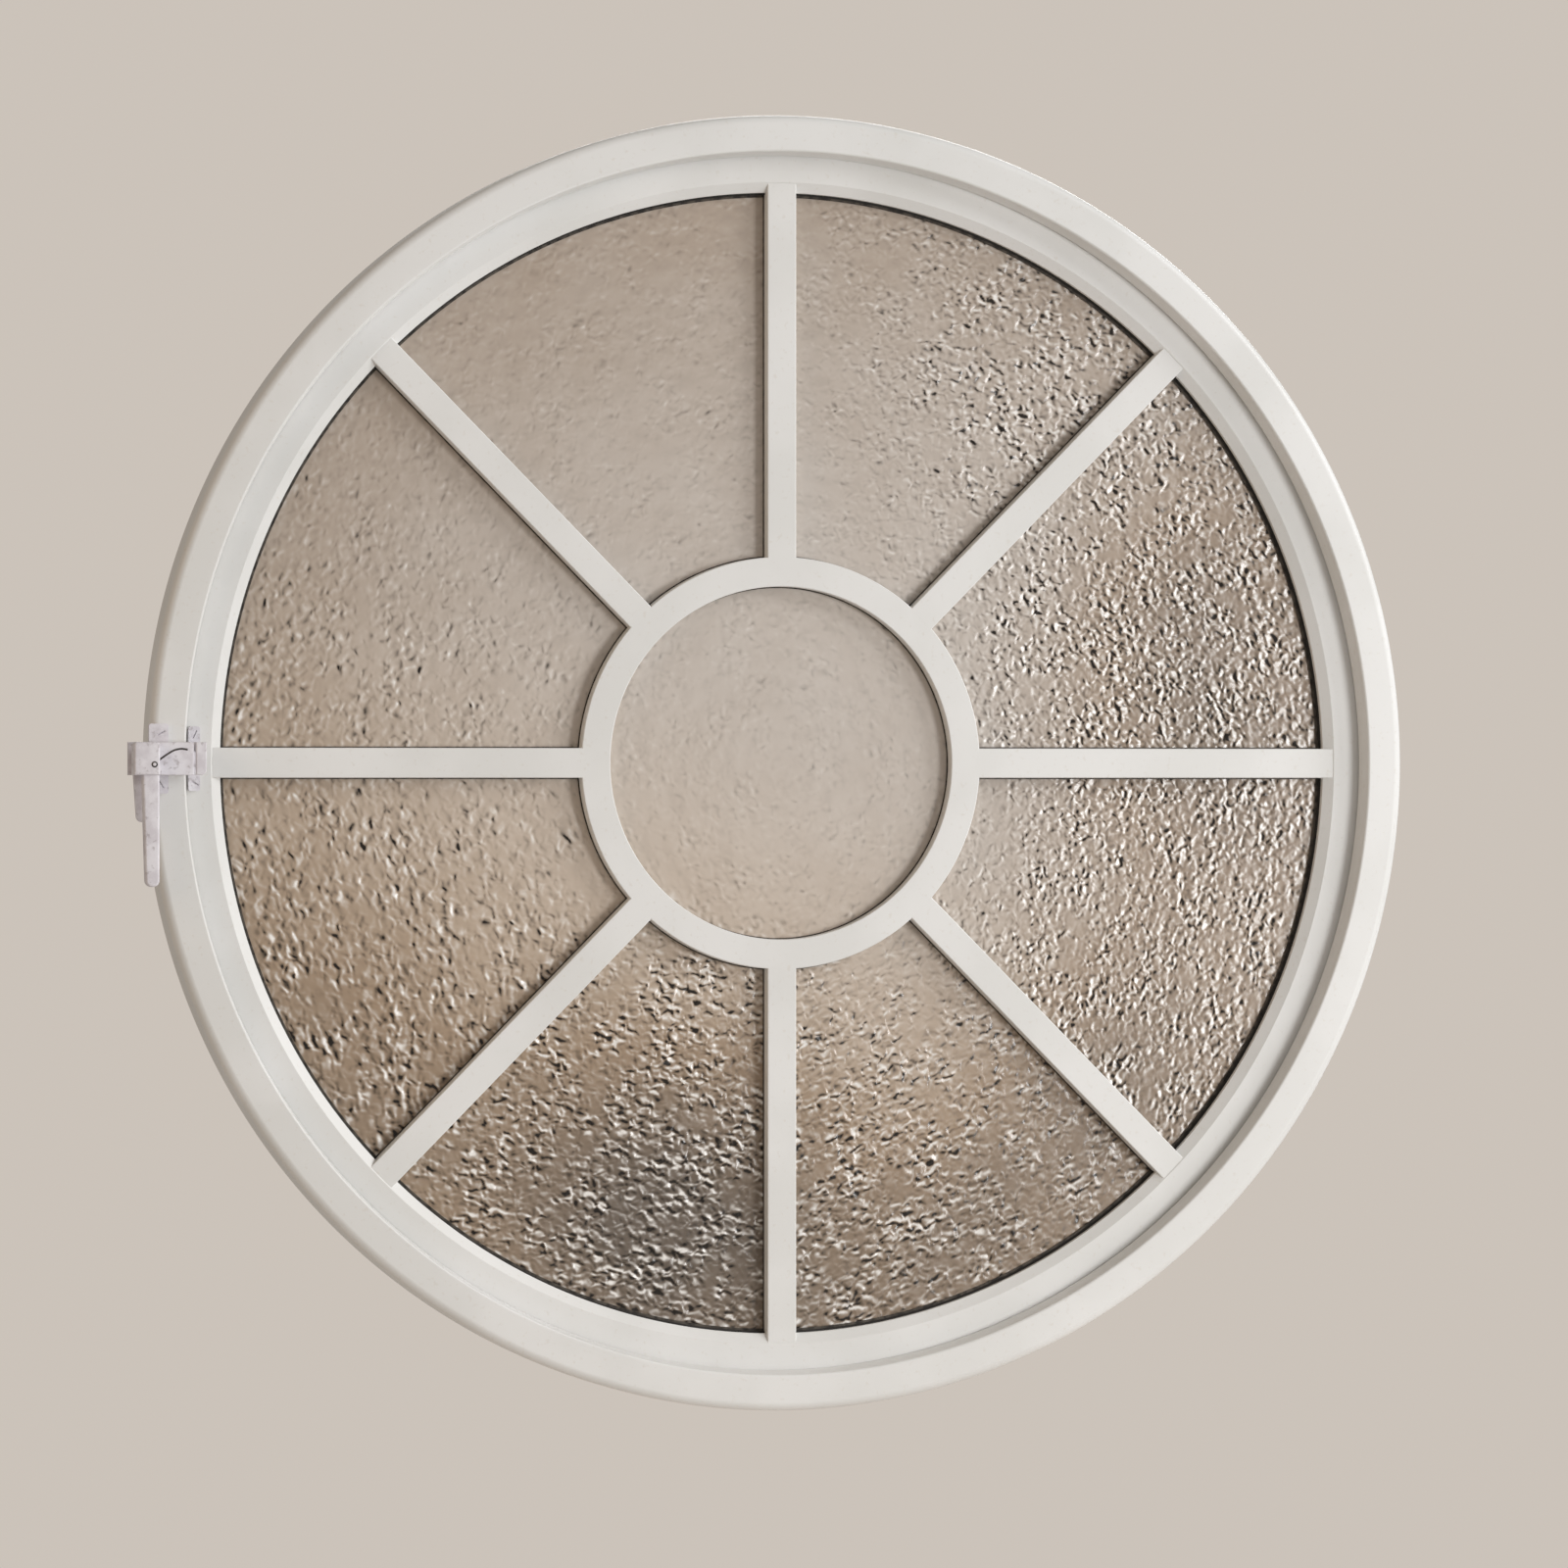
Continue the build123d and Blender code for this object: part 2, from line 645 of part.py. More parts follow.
# Latch base on the frame: plate with two lugs, bearing behind it, hood over the tongue
with BuildPart() as latch_base:
    with BuildSketch(facing_room(front_y)):
        with Locations((plate_left_x, latch_axis_z)):
            Rectangle(
                plate_right_x - plate_left_x, latch_height, align=(Align.MIN, Align.CENTER)
            )
        with Locations((lug_x, latch_axis_z)):
            Rectangle(lug_width, latch_height + 2 * lug_height)
    extrude(amount=latch_plate)
    outer_edges = latch_base.edges().filter_by(Axis.Y)
    fillet(outer_edges.group_by(Axis.Z)[0] + outer_edges.group_by(Axis.Z)[-1], latch_round)
    with BuildSketch(facing_room(plate_top_y)):
        with Locations((hood_left_x, latch_top_z)):
            Rectangle(plate_right_x - hood_left_x, hood_wall, align=(Align.MIN, Align.MAX))
    extrude(amount=plate_top_y - hood_back_y)
    with BuildSketch(facing_room(hood_back_y)):
        with Locations((hood_left_x, latch_axis_z)):
            Rectangle(
                hood_right_x - hood_left_x, latch_height, align=(Align.MIN, Align.CENTER)
            )
    extrude(amount=hood_thickness)
    fillet(latch_base.faces().sort_by(Axis.Y)[0].edges(), radius=hood_round)
    with BuildSketch(facing_room(bearing_end_y)):
        with Locations((latch_axis_x, latch_axis_z)):
            Circle(bearing_radius)
    extrude(amount=bearing_length)
    with BuildSketch(facing_room(bearing_end_y)):
        with Locations((latch_axis_x, latch_axis_z)):
            Circle(spindle_radius + spindle_running_gap)
    extrude(amount=bearing_length + latch_plate, mode=Mode.SUBTRACT)
    countersunk_holes(latch_places, latch_plate)
latch_base.part.label = "latch_base"
export_step(latch_base.part, "parts/latch_base.step")

latch_base_screws = countersunk_screws(latch_places, latch_screw_length)
latch_base_screws.label = "latch_base_screws"
export_step(latch_base_screws, "parts/latch_base_screws.step")

# Spindle: a round journal in the base, and a square for the tongue and the lever
with BuildPart() as lever_spindle:
    journal_end_y = bearing_end_y + washer_gap + washer_thickness + spindle_end
    with BuildSketch(facing_room(journal_end_y)):
        with Locations((latch_axis_x, latch_axis_z)):
            Circle(spindle_radius)
    extrude(amount=journal_end_y - tongue_back_y)
    with BuildSketch(facing_room(tongue_back_y)):
        with Locations((latch_axis_x, latch_axis_z)):
            Rectangle(spindle_square, spindle_square)
    extrude(amount=tongue_back_y - lever_front_y - lever_cap_thickness)
lever_spindle.part.label = "lever_spindle"
export_step(lever_spindle.part, "parts/lever_spindle.step")

with BuildPart() as spindle_washer:
    with BuildSketch(facing_room(bearing_end_y + washer_gap + washer_thickness)):
        with Locations((latch_axis_x, latch_axis_z)):
            Circle(washer_radius)
            Circle(spindle_radius + screw_gap, mode=Mode.SUBTRACT)
    extrude(amount=washer_thickness)
spindle_washer.part.label = "spindle_washer"
export_step(spindle_washer.part, "parts/spindle_washer.step")

# Tongue: it hangs behind the lever and swings under the hood and the strike
with BuildPart() as latch_tongue:
    tongue_end_z = latch_axis_z - tongue_reach + tongue_width / 2
    with BuildSketch(facing_room(tongue_back_y)):
        with Locations((latch_axis_x, latch_axis_z)):
            Circle(tongue_root_radius)
        with Locations((latch_axis_x, tongue_end_z)):
            Circle(tongue_width / 2)
        make_hull()
        with Locations((latch_axis_x, latch_axis_z)):
            Rectangle(
                spindle_square + 2 * screw_gap,
                spindle_square + 2 * screw_gap,
                mode=Mode.SUBTRACT,
            )
    extrude(amount=tongue_thickness)
latch_tongue.part.label = "latch_tongue"
export_step(latch_tongue.part, "parts/latch_tongue.step")

# Lever: a flat arm that tapers towards a round end, and a square boss over its root
with BuildPart() as lever_handle:
    boss_right_x = latch_axis_x + lever_side
    arm_front_y = lever_front_y + lever_set_back
    arm_end_z = latch_axis_z - lever_length
    with BuildSketch(facing_room(arm_front_y + lever_thickness)):
        with BuildLine():
            Polyline(
                (boss_right_x, latch_axis_z),
                (boss_right_x, arm_end_z),
                (boss_right_x - lever_tip_width, arm_end_z),
                (boss_right_x - lever_top_width, latch_bottom_z),
                (boss_right_x - lever_top_width, latch_axis_z),
                close=True,
            )
        arm = make_face()
        fillet(arm.vertices().group_by(Axis.Y)[0], radius=lever_tip_round)
    extrude(amount=lever_thickness)
    fillet(lever_handle.faces().sort_by(Axis.Y)[0].edges(), radius=lever_edge_round)
    with BuildSketch(facing_room(lever_back_y)):
        with Locations((boss_right_x, latch_axis_z)):
            lever_boss = Rectangle(
                lever_boss_width, latch_height, align=(Align.MAX, Align.CENTER)
            )
        fillet(lever_boss.vertices().group_by(Axis.Y)[-1], radius=lever_boss_round)
    boss_body = extrude(amount=lever_boss_thickness, mode=Mode.PRIVATE)
    add(boss_body.fillet(lever_edge_round, boss_body.faces().sort_by(Axis.Y)[0].edges()))
    with BuildSketch(facing_room(lever_back_y)):
        with Locations((latch_axis_x, latch_axis_z)):
            Rectangle(spindle_square + 2 * screw_gap, spindle_square + 2 * screw_gap)
    extrude(amount=lever_boss_thickness - lever_cap_thickness + screw_gap, mode=Mode.SUBTRACT)
lever_handle.part.label = "lever_handle"
export_step(lever_handle.part, "parts/lever_handle.step")

# Strike on the sash: a foot with two lugs, a post, and a roof that the tongue goes under
with BuildPart() as strike:
    foot_left_x = strike_left_x - strike_foot_lap
    strike_right_x = strike_left_x + strike_width
    with BuildSketch(facing_room(sash_face_y)):
        with Locations((foot_left_x, latch_axis_z)):
            foot = Rectangle(
                strike_right_x - foot_left_x,
                latch_height + 2 * strike_lug_height,
                align=(Align.MIN, Align.CENTER),
            )
        fillet(foot.vertices(), radius=latch_round)
    extrude(amount=strike_foot_thickness)
    post_bottom_z = latch_axis_z + tongue_width / 2 + tongue_side_gap
    with BuildSketch(facing_room(strike_foot_y)):
        with Locations((strike_left_x, latch_top_z)):
            Rectangle(strike_width, latch_top_z - post_bottom_z, align=(Align.MIN, Align.MAX))
    extrude(amount=strike_foot_y - hood_back_y)
    with BuildSketch(facing_room(hood_back_y)):
        with Locations((strike_left_x, latch_axis_z)):
            roof = Rectangle(strike_width, latch_height, align=(Align.MIN, Align.CENTER))
        fillet(roof.vertices().group_by(Axis.X)[-1].sort_by(Axis.Y)[0], radius=strike_round)
    extrude(amount=hood_thickness)
    fillet(strike.faces().sort_by(Axis.Y)[0].edges(), radius=hood_round)
    countersunk_holes(strike_places, strike_foot_thickness)
strike.part.label = "strike"
export_step(strike.part, "parts/strike.step")

strike_screws = countersunk_screws(strike_places, strike_screw_length)
strike_screws.label = "strike_screws"
export_step(strike_screws, "parts/strike_screws.step")
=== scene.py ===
import math
import bpy
import mathutils
import numpy as np
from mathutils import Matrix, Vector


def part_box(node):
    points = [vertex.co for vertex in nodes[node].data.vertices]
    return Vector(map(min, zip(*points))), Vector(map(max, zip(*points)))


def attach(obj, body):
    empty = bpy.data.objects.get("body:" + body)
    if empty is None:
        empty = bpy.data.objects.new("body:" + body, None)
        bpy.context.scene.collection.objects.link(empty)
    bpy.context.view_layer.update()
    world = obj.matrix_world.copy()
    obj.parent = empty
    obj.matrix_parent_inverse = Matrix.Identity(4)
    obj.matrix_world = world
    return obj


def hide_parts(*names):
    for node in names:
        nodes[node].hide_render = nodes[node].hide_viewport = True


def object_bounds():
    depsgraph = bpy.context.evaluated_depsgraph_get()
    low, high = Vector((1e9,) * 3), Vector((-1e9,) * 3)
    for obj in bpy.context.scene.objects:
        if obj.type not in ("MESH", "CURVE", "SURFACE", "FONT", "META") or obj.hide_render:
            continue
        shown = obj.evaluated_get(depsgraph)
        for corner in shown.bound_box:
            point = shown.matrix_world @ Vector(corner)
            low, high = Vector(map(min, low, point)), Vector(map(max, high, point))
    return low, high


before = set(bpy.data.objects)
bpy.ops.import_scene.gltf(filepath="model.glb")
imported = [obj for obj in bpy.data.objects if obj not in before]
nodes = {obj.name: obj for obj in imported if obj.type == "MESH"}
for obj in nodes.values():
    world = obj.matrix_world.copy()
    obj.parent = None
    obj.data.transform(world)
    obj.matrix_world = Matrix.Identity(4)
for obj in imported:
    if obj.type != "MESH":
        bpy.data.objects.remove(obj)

cadLow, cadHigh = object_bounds()
mm = 0.001


def nodeBox(name):
    # a CAD node's low and high corner in millimetres
    low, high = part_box(name)
    return np.array(low) / mm, np.array(high) / mm


# Shader helpers

class Wire:
    # one output socket; arithmetic on it adds Math nodes
    def __init__(self, finish, socket):
        self.finish = finish
        self.socket = socket

    def math(self, operation, *others):
        inputs = dict(enumerate((self, *others)))
        return self.finish.node("ShaderNodeMath", {"operation": operation}, inputs)

    def __add__(self, other):
        return self.math("ADD", other)

    def __sub__(self, other):
        return self.math("SUBTRACT", other)

    def __rsub__(self, other):
        return self * -1.0 + other

    def __mul__(self, other):
        return self.math("MULTIPLY", other)

    __radd__ = __add__
    __rmul__ = __mul__

    def size(self):
        return self.math("ABSOLUTE")

    def clamp(self):
        clamped = self.math("ADD", 0.0)
        clamped.socket.node.use_clamp = True
        return clamped

    def ramp(self, low, high):
        # 0 below low, 1 above high, smooth between
        values = {"Value": self, "From Min": low, "From Max": high}
        return self.finish.node("ShaderNodeMapRange", {"interpolation_type": "SMOOTHSTEP"}, values)


class Finish:
    # a material under construction, with its Principled BSDF
    def __init__(self, name, **constants):
        self.material = bpy.data.materials.new(name)
        self.material.use_nodes = True
        self.tree = self.material.node_tree
        self.shader = self.tree.nodes["Principled BSDF"]
        for key, value in constants.items():
            self.set(self.shader, key.replace("_", " "), value)
        coordinates = self.tree.nodes.new("ShaderNodeTexCoord")
        self.place = Wire(self, coordinates.outputs["Object"])

    def set(self, node, key, value):
        socket = node.inputs[key]
        if isinstance(value, Wire):
            self.tree.links.new(value.socket, socket)
        elif isinstance(value, (tuple, list)) and len(value) == 3 and len(socket.default_value) == 4:
            socket.default_value = (*value, 1.0)
        else:
            socket.default_value = value

    def node(self, kind, settings, values, output=0):
        made = self.tree.nodes.new(kind)
        for key, value in settings.items():
            setattr(made, key, value)
        for key, value in values.items():
            self.set(made, key, value)
        return Wire(self, made.outputs[output])

    def noise(self, scale, detail=3.0, roughness=0.5, stretch=None):
        where = self.place if stretch is None else self.vector("MULTIPLY", self.place, stretch)
        values = {"Vector": where, "Scale": scale, "Detail": detail, "Roughness": roughness}
        return self.node("ShaderNodeTexNoise", {}, values)

    def vector(self, operation, *values, output=0):
        inputs = dict(enumerate(values))
        return self.node("ShaderNodeVectorMath", {"operation": operation}, inputs, output)

    def along(self, axis):
        return self.node("ShaderNodeSeparateXYZ", {}, {0: self.place}, output=axis)

    def attribute(self, name):
        return self.node("ShaderNodeAttribute", {"attribute_name": name}, {}, output=2)

    def mix(self, factor, first, second):
        colours = {0: factor, 6: first, 7: second}
        return self.node("ShaderNodeMix", {"data_type": "RGBA"}, colours, output=2)

    def bump(self, height, strength, distance):
        values = {"Strength": strength, "Distance": distance, "Height": height}
        return self.node("ShaderNodeBump", {}, values)

    def feed(self, key, wire):
        self.set(self.shader, key, wire)


# Paint and other finishes

whitePaint = {
    "colour": (0.735, 0.73, 0.71),
    "pale": (0.79, 0.785, 0.77),
    "cloud": 7.0,                     # cells per metre, as for all the noises
    "tan": (0.60, 0.54, 0.46),        # where dust has settled
    "speck": 260.0,
    "dust": 0.25,
    "roughness": 0.34,
    "peel": 900.0,                    # orange peel
    "peelHeight": 0.00004,
}


def makeWhitePaint(values=whitePaint):
    paint = Finish("whitePaint", IOR=1.47)
    cloud = paint.noise(values["cloud"], 4.0)
    speck = paint.noise(values["speck"], 2.0)
    colour = paint.mix(cloud.ramp(0.38, 0.62), values["colour"], values["pale"])
    colour = paint.mix(speck.ramp(0.60, 0.78) * values["dust"], colour, values["tan"])
    paint.feed("Base Color", colour)
    paint.feed("Roughness", cloud * 0.16 + values["roughness"])
    peel = paint.noise(values["peel"], 1.0)
    paint.feed("Normal", paint.bump(peel, 0.35, values["peelHeight"]))
    return paint.material


latchPaint = {
    "colour": (0.66, 0.63, 0.67),
    "pale": (0.78, 0.76, 0.80),
    "cloud": 90.0,
    "shade": (0.40, 0.36, 0.37),      # darker blotches at random
    "blotch": 190.0,
    "blotching": 0.65,
    "roughness": 0.28,
    "peel": 600.0,
    "peelHeight": 0.00008,
}


def makeLatchPaint(values=latchPaint):
    paint = Finish("latchPaint", IOR=1.47)
    cloud = paint.noise(values["cloud"], 4.0, 0.6)
    colour = paint.mix(cloud.ramp(0.35, 0.65), values["colour"], values["pale"])
    blotch = paint.noise(values["blotch"], 3.0, 0.6).ramp(0.56, 0.70) * values["blotching"]
    paint.feed("Base Color", paint.mix(blotch, colour, values["shade"]))
    paint.feed("Roughness", cloud * 0.25 + values["roughness"])
    paint.feed("Normal", paint.bump(paint.noise(values["peel"], 2.0), 0.4, values["peelHeight"]))
    return paint.material


rubberLook = {"dark": (0.012, 0.011, 0.010), "pale": (0.035, 0.032, 0.029), "grain": 400.0, "roughness": 0.55}


def makeRubber(values=rubberLook):
    rubber = Finish("blackRubber", Specular_IOR_Level=0.3)
    grain = rubber.noise(values["grain"], 3.0)
    rubber.feed("Base Color", rubber.mix(grain, values["dark"], values["pale"]))
    rubber.feed("Roughness", grain * 0.25 + values["roughness"])
    rubber.feed("Normal", rubber.bump(grain, 0.3, 0.00005))
    return rubber.material


wireLook = {"dark": (0.035, 0.03, 0.03), "pale": (0.10, 0.085, 0.08), "cloud": 220.0, "roughness": 0.35}


def makeBlackSteel(values=wireLook):
    steel = Finish("blackSteel", Metallic=0.6)
    cloud = steel.noise(values["cloud"], 3.0)
    steel.feed("Base Color", steel.mix(cloud.ramp(0.35, 0.65), values["dark"], values["pale"]))
    steel.feed("Roughness", cloud * 0.3 + values["roughness"])
    return steel.material


# dark sealant, also used for painted shadow lines and for the painted shade in the hole round the latch pin
sealantAndShadowLook = {"dark": (0.025, 0.021, 0.018), "pale": (0.10, 0.085, 0.07), "grain": 150.0, "roughness": 0.6}


def makeSealantAndShadow(values=sealantAndShadowLook):
    sealantAndShadow = Finish("sealantAndShadow", Specular_IOR_Level=0.3)
    grain = sealantAndShadow.noise(values["grain"], 3.0)
    sealantAndShadow.feed("Base Color", sealantAndShadow.mix(grain.ramp(0.35, 0.65), values["dark"], values["pale"]))
    sealantAndShadow.feed("Roughness", grain * 0.2 + values["roughness"])
    return sealantAndShadow.material


zincLook = {
    "dark": (0.40, 0.39, 0.37),
    "pale": (0.58, 0.57, 0.55),
    "grain": 500.0,
    "drawn": (1.0, 1.0, 0.12),        # the grain runs up and down
    "roughness": 0.25,
}


def makeZincSteel(values=zincLook):
    steel = Finish("zincSteel", Metallic=1.0)
    brushed = steel.noise(values["grain"], 3.0, 0.6, stretch=values["drawn"])
    steel.feed("Base Color", steel.mix(brushed.ramp(0.3, 0.7), values["dark"], values["pale"]))
    steel.feed("Roughness", brushed * 0.3 + values["roughness"])
    steel.feed("Normal", steel.bump(brushed, 0.2, 0.00004))
    return steel.material


glassLook = {
    "clear": (0.66, 0.60, 0.545),      # near the middle
    "tanClear": (0.73, 0.605, 0.485),  # lower down
    "rim": (0.445, 0.35, 0.27),
    "tanRim": (0.43, 0.32, 0.225),
    "grey": (0.185, 0.15, 0.12),       # painted shade in the deepest patches
    # painted highlight and painted shadow colours of the bumps' glints
    "paintedHighlight": (1.0, 0.97, 0.93),
    "shadow": (0.016, 0.012, 0.009),
    "tilt": -0.45,                     # the tan begins lower at the right
    "tanStart": -0.08,                 # metres below the middle
    "tanFull": 0.32,
    "beyond": 150.0,                   # painted glints of the bumps as seen through the flat back
    "beyondGain": 5.0,
    "speckle": 700.0,                  # unevenness inside the painted glints
    "speckleGain": 0.4,
    "darkGain": 1.25,
    "roughness": 0.17,
}


def makeGlass(values=glassLook):
    # the panes carry three attributes: shade, the painted shade of what the glass shows beyond it,
    # glint, painted highlights and shadows where its bumps would catch the daylight, and rear, 1 on the flat
    # back, where noise paints the glints of the bumps beyond
    glass = Finish("hammeredGlass", IOR=1.5, Transmission_Weight=0.15)
    shade, glint, rear = (glass.attribute(name) for name in ("shade", "glint", "rear"))
    beyond = glass.noise(values["beyond"], 2.0, 0.6) - 0.5
    glint = glint + beyond * beyond.size() * rear * values["beyondGain"]
    speckle = glass.noise(values["speckle"], 2.0) - 0.5
    low = (glass.along(0) * values["tilt"] - glass.along(2)).ramp(values["tanStart"], values["tanFull"])
    clear = glass.mix(low, values["clear"], values["tanClear"])
    rim = glass.mix(low, values["rim"], values["tanRim"])
    colour = glass.mix((shade * 2.0).clamp(), clear, rim)
    colour = glass.mix((shade * 2.0 - 1.0).clamp(), colour, values["grey"])
    # the glint attribute paints the bumps' highlights and shadows into the colour
    uneven = speckle * values["speckleGain"] * glint.size()
    colour = glass.mix((glint + uneven).clamp(), colour, values["paintedHighlight"])
    colour = glass.mix((uneven - glint * values["darkGain"]).clamp(), colour, values["shadow"])
    glass.feed("Base Color", colour)
    glass.feed("Roughness", glass.noise(60.0, 2.0) * 0.12 + values["roughness"])
    glass.feed("Normal", glass.bump(glass.noise(420.0, 2.0), 0.25, 0.0001))
    return glass.material


white = makeWhitePaint()
cool = makeLatchPaint()
rubber = makeRubber()
sealantAndShadow = makeSealantAndShadow()
steel = makeZincSteel()
blackSteel = makeBlackSteel()
hammered = makeGlass()
print("finishes made")


# Surfaces on grids

def gridFaces(rows, columns, wrapRows=False, wrapColumns=False):
    # four corners of each cell of a rows by columns grid of points
    r = np.arange(rows if wrapRows else rows - 1)
    c = np.arange(columns if wrapColumns else columns - 1)
    r, c = np.meshgrid(r, c, indexing="ij")
    right, down = (c + 1) % columns, (r + 1) % rows
    cells = [r * columns + c, r * columns + right, down * columns + right, down * columns + c]
    return np.stack(cells, -1).reshape(-1, 4)


def endFaces(rows, columns):
    # the two faces that close a tube made of such a grid
    around = np.arange(columns)
    return [around[None, ::-1], (around + (rows - 1) * columns)[None]]


def buildMesh(name, parts, material, flip=False):
    # parts is a list of (points in millimetres, list of face arrays); one closed mesh from them all
    mesh = bpy.data.meshes.new(name)
    points = np.concatenate([p for p, _ in parts]) * mm
    loops, starts, offset, used = [], [], 0, 0
    for p, faces in parts:
        for group in faces:
            group = np.asarray(group)
            if flip:
                group = group[:, ::-1]
            loops.append((group + offset).ravel())
            starts.append(used + np.arange(len(group)) * group.shape[1])
            used += group.size
        offset += len(p)
    mesh.vertices.add(len(points))
    mesh.vertices.foreach_set("co", points.astype(np.float32).ravel())
    loops, starts = np.concatenate(loops), np.concatenate(starts)
    mesh.loops.add(len(loops))
    mesh.loops.foreach_set("vertex_index", loops.astype(np.int32))
    mesh.polygons.add(len(starts))
    mesh.polygons.foreach_set("loop_start", starts.astype(np.int32))
    mesh.polygons.foreach_set("use_smooth", np.ones(len(starts), bool))
    mesh.update(calc_edges=True)
    mesh.validate()
    mesh.materials.append(material)
    piece = bpy.data.objects.new(name, mesh)
    bpy.context.scene.collection.objects.link(piece)
    return piece


def carve(piece, cutter):
    # takes the cutter's shape out of the piece, for good
    cut = piece.modifiers.new("cut", "BOOLEAN")
    cut.operation = "DIFFERENCE"
    cut.object = cutter
    bpy.context.view_layer.update()
    graph = bpy.context.evaluated_depsgraph_get()
    piece.data = bpy.data.meshes.new_from_object(piece.evaluated_get(graph))
    piece.modifiers.clear()
    bpy.data.objects.remove(cutter)


def evenShading(piece, angle=40):
    # edges sharper than the angle stay crisp, and big faces rule the shading
    piece.data.set_sharp_from_angle(angle=math.radians(angle))
    weighted = piece.modifiers.new("evenShading", "WEIGHTED_NORMAL")
    weighted.keep_sharp = True
    weighted.weight = 80


def roundedOutline(corners, steps=4):
    # corners are (a, b, radius); each becomes an arc tangent to its two sides
    corners = np.array([(*corner, 0.0)[:3] for corner in corners], float)
    found = []
    for index, (a, b, radius) in enumerate(corners):
        here = np.array((a, b))
        if radius <= 0:
            found.append(here[None])
            continue
        back = corners[index - 1, :2] - here
        ahead = corners[(index + 1) % len(corners), :2] - here
        back, ahead = back / np.linalg.norm(back), ahead / np.linalg.norm(ahead)
        half = math.acos(np.clip(back @ ahead, -1, 1)) / 2
        reach = radius / math.tan(half)
        middle = here + (back + ahead) / np.linalg.norm(back + ahead) * radius / math.sin(half)
        first, last = here + back * reach - middle, here + ahead * reach - middle
        turn = math.atan2(first[0] * last[1] - first[1] * last[0], first @ last)
        angles = np.linspace(0, turn, steps + 1)[:, None]
        across = np.array((-first[1], first[0]))
        found.append(middle + first * np.cos(angles) + across * np.sin(angles))
    return np.concatenate(found)


def revolved(outline, segments=480):
    # the outline's (radius, depth) points carried round the Y axis: x = r cos, z = r sin
    turn = np.linspace(0, 2 * math.pi, segments, endpoint=False)[:, None]
    r, y = outline[:, 0][None], outline[:, 1][None]
    points = np.stack([r * np.cos(turn), y + 0 * turn, r * np.sin(turn)], -1)
    return points.reshape(-1, 3), [gridFaces(segments, len(outline), True, True)]


def turned(outline, origin, axis, segments=40):
    # a closed outline of (radius, height) points carried round an axis
    axis = np.array(axis, float)
    side = np.cross(axis, (0, 0, 1) if abs(axis[2]) < 0.9 else (1, 0, 0))
    side = side / np.linalg.norm(side)
    other = np.cross(axis, side)
    outline = np.array(outline, float)
    turn = np.linspace(0, 2 * math.pi, segments, endpoint=False)[:, None, None]
    r, h = outline[:, 0][None, :, None], outline[:, 1][None, :, None]
    points = np.array(origin) + h * axis + r * (np.cos(turn) * side + np.sin(turn) * other)
    return points.reshape(-1, 3), [gridFaces(segments, len(outline), True, True)]


def outlineArea(outline):
    # above 0 where the outline runs anticlockwise
    a, b = outline[:, 0], outline[:, 1]
    return 0.5 * np.sum(a * np.roll(b, -1) - b * np.roll(a, -1))


def ringPiece(name, corners, material, body, node, segments=480, steps=4):
    # a closed ring with rounded corners that stands for a CAD node
    outline = roundedOutline(corners, steps)
    if outlineArea(outline) > 0:
        outline = outline[::-1]
    piece = buildMesh(name, [revolved(outline, segments)], material)
    evenShading(piece)
    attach(piece, body)
    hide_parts(node)
    return piece


# The frame ring

frameLow, frameHigh = nodeBox("frame_ring")
sashLow, sashHigh = nodeBox("sash_ring")
frameRing = {
    "radius": frameHigh[0],
    "front": frameLow[1],
    "back": frameHigh[1],
    "face": 27.8,
    "outerRound": 6.5,
    "innerRound": 2.0,
    "splay": 3.0,
    "spigot": 486.0,
    "rebate": 482.0,
    "stopBack": sashLow[1] - 1.5,
    "flangeWall": 3.5,
    "flangeFront": 6.0,
    "holes": 6,
    "firstHole": 30.0,                # degrees round from the right
    "holeRadius": 2.75,
    "holeDepth": 18.0,
    "drillPast": 1.0,                 # the drill comes out of both sides of the spigot
}


def makeFrameRing(v=frameRing):
    inner = v["radius"] - v["face"]
    pocket = v["spigot"] + v["flangeWall"]
    corners = [
        (inner, v["front"], v["innerRound"]),
        (v["radius"], v["front"], v["outerRound"]),
        (v["radius"], 0.0, 0.3),
        (v["radius"] - v["flangeWall"], 0.0, 0.3),
        (v["radius"] - v["flangeWall"], v["front"] + v["flangeFront"], 0.8),
        (pocket, v["front"] + v["flangeFront"], 0.8),
        (pocket, 0.0, 0.3),
        (v["spigot"], 0.0, 0.3),
        (v["spigot"], v["back"], 0.5),
        (v["rebate"], v["back"], 0.5),
        (v["rebate"], v["stopBack"], 0.8),
        (inner - v["splay"], v["stopBack"], 0.5),
    ]
    ring = ringPiece("frameRing", corners, white, "frame", "frame_ring", steps=6)
    ring.modifiers.clear()
    outside, inside = v["spigot"] + v["drillPast"], v["rebate"] - v["drillPast"]
    drill = [(v["holeRadius"], outside), (0.0, outside), (0.0, inside), (v["holeRadius"], inside)]
    angles = np.radians(v["firstHole"] + 360 / v["holes"] * np.arange(v["holes"]))
    holes = [turned(drill, (0, v["holeDepth"], 0), (math.cos(a), 0, math.sin(a)), 32) for a in angles]
    carve(ring, buildMesh("holes", holes, white))
    evenShading(ring)     # again, now that the holes are cut


makeFrameRing()

stopSeal = {"width": 2.8, "foot": 0.2, "lip": 1.0}


def makeStopSeal(v=stopSeal):
    low, high = nodeBox("stop_seal")
    outer, inner = high[0], high[0] - v["width"]
    ringPiece("stopSeal", [
        (inner, low[1], v["foot"]), (outer, low[1], v["foot"]),
        (outer, high[1], v["lip"]), (inner, high[1], v["lip"]),
    ], rubber, "frame", "stop_seal")


makeStopSeal()
print("frame made")


# The sash ring, its bevelled lip and its gaskets

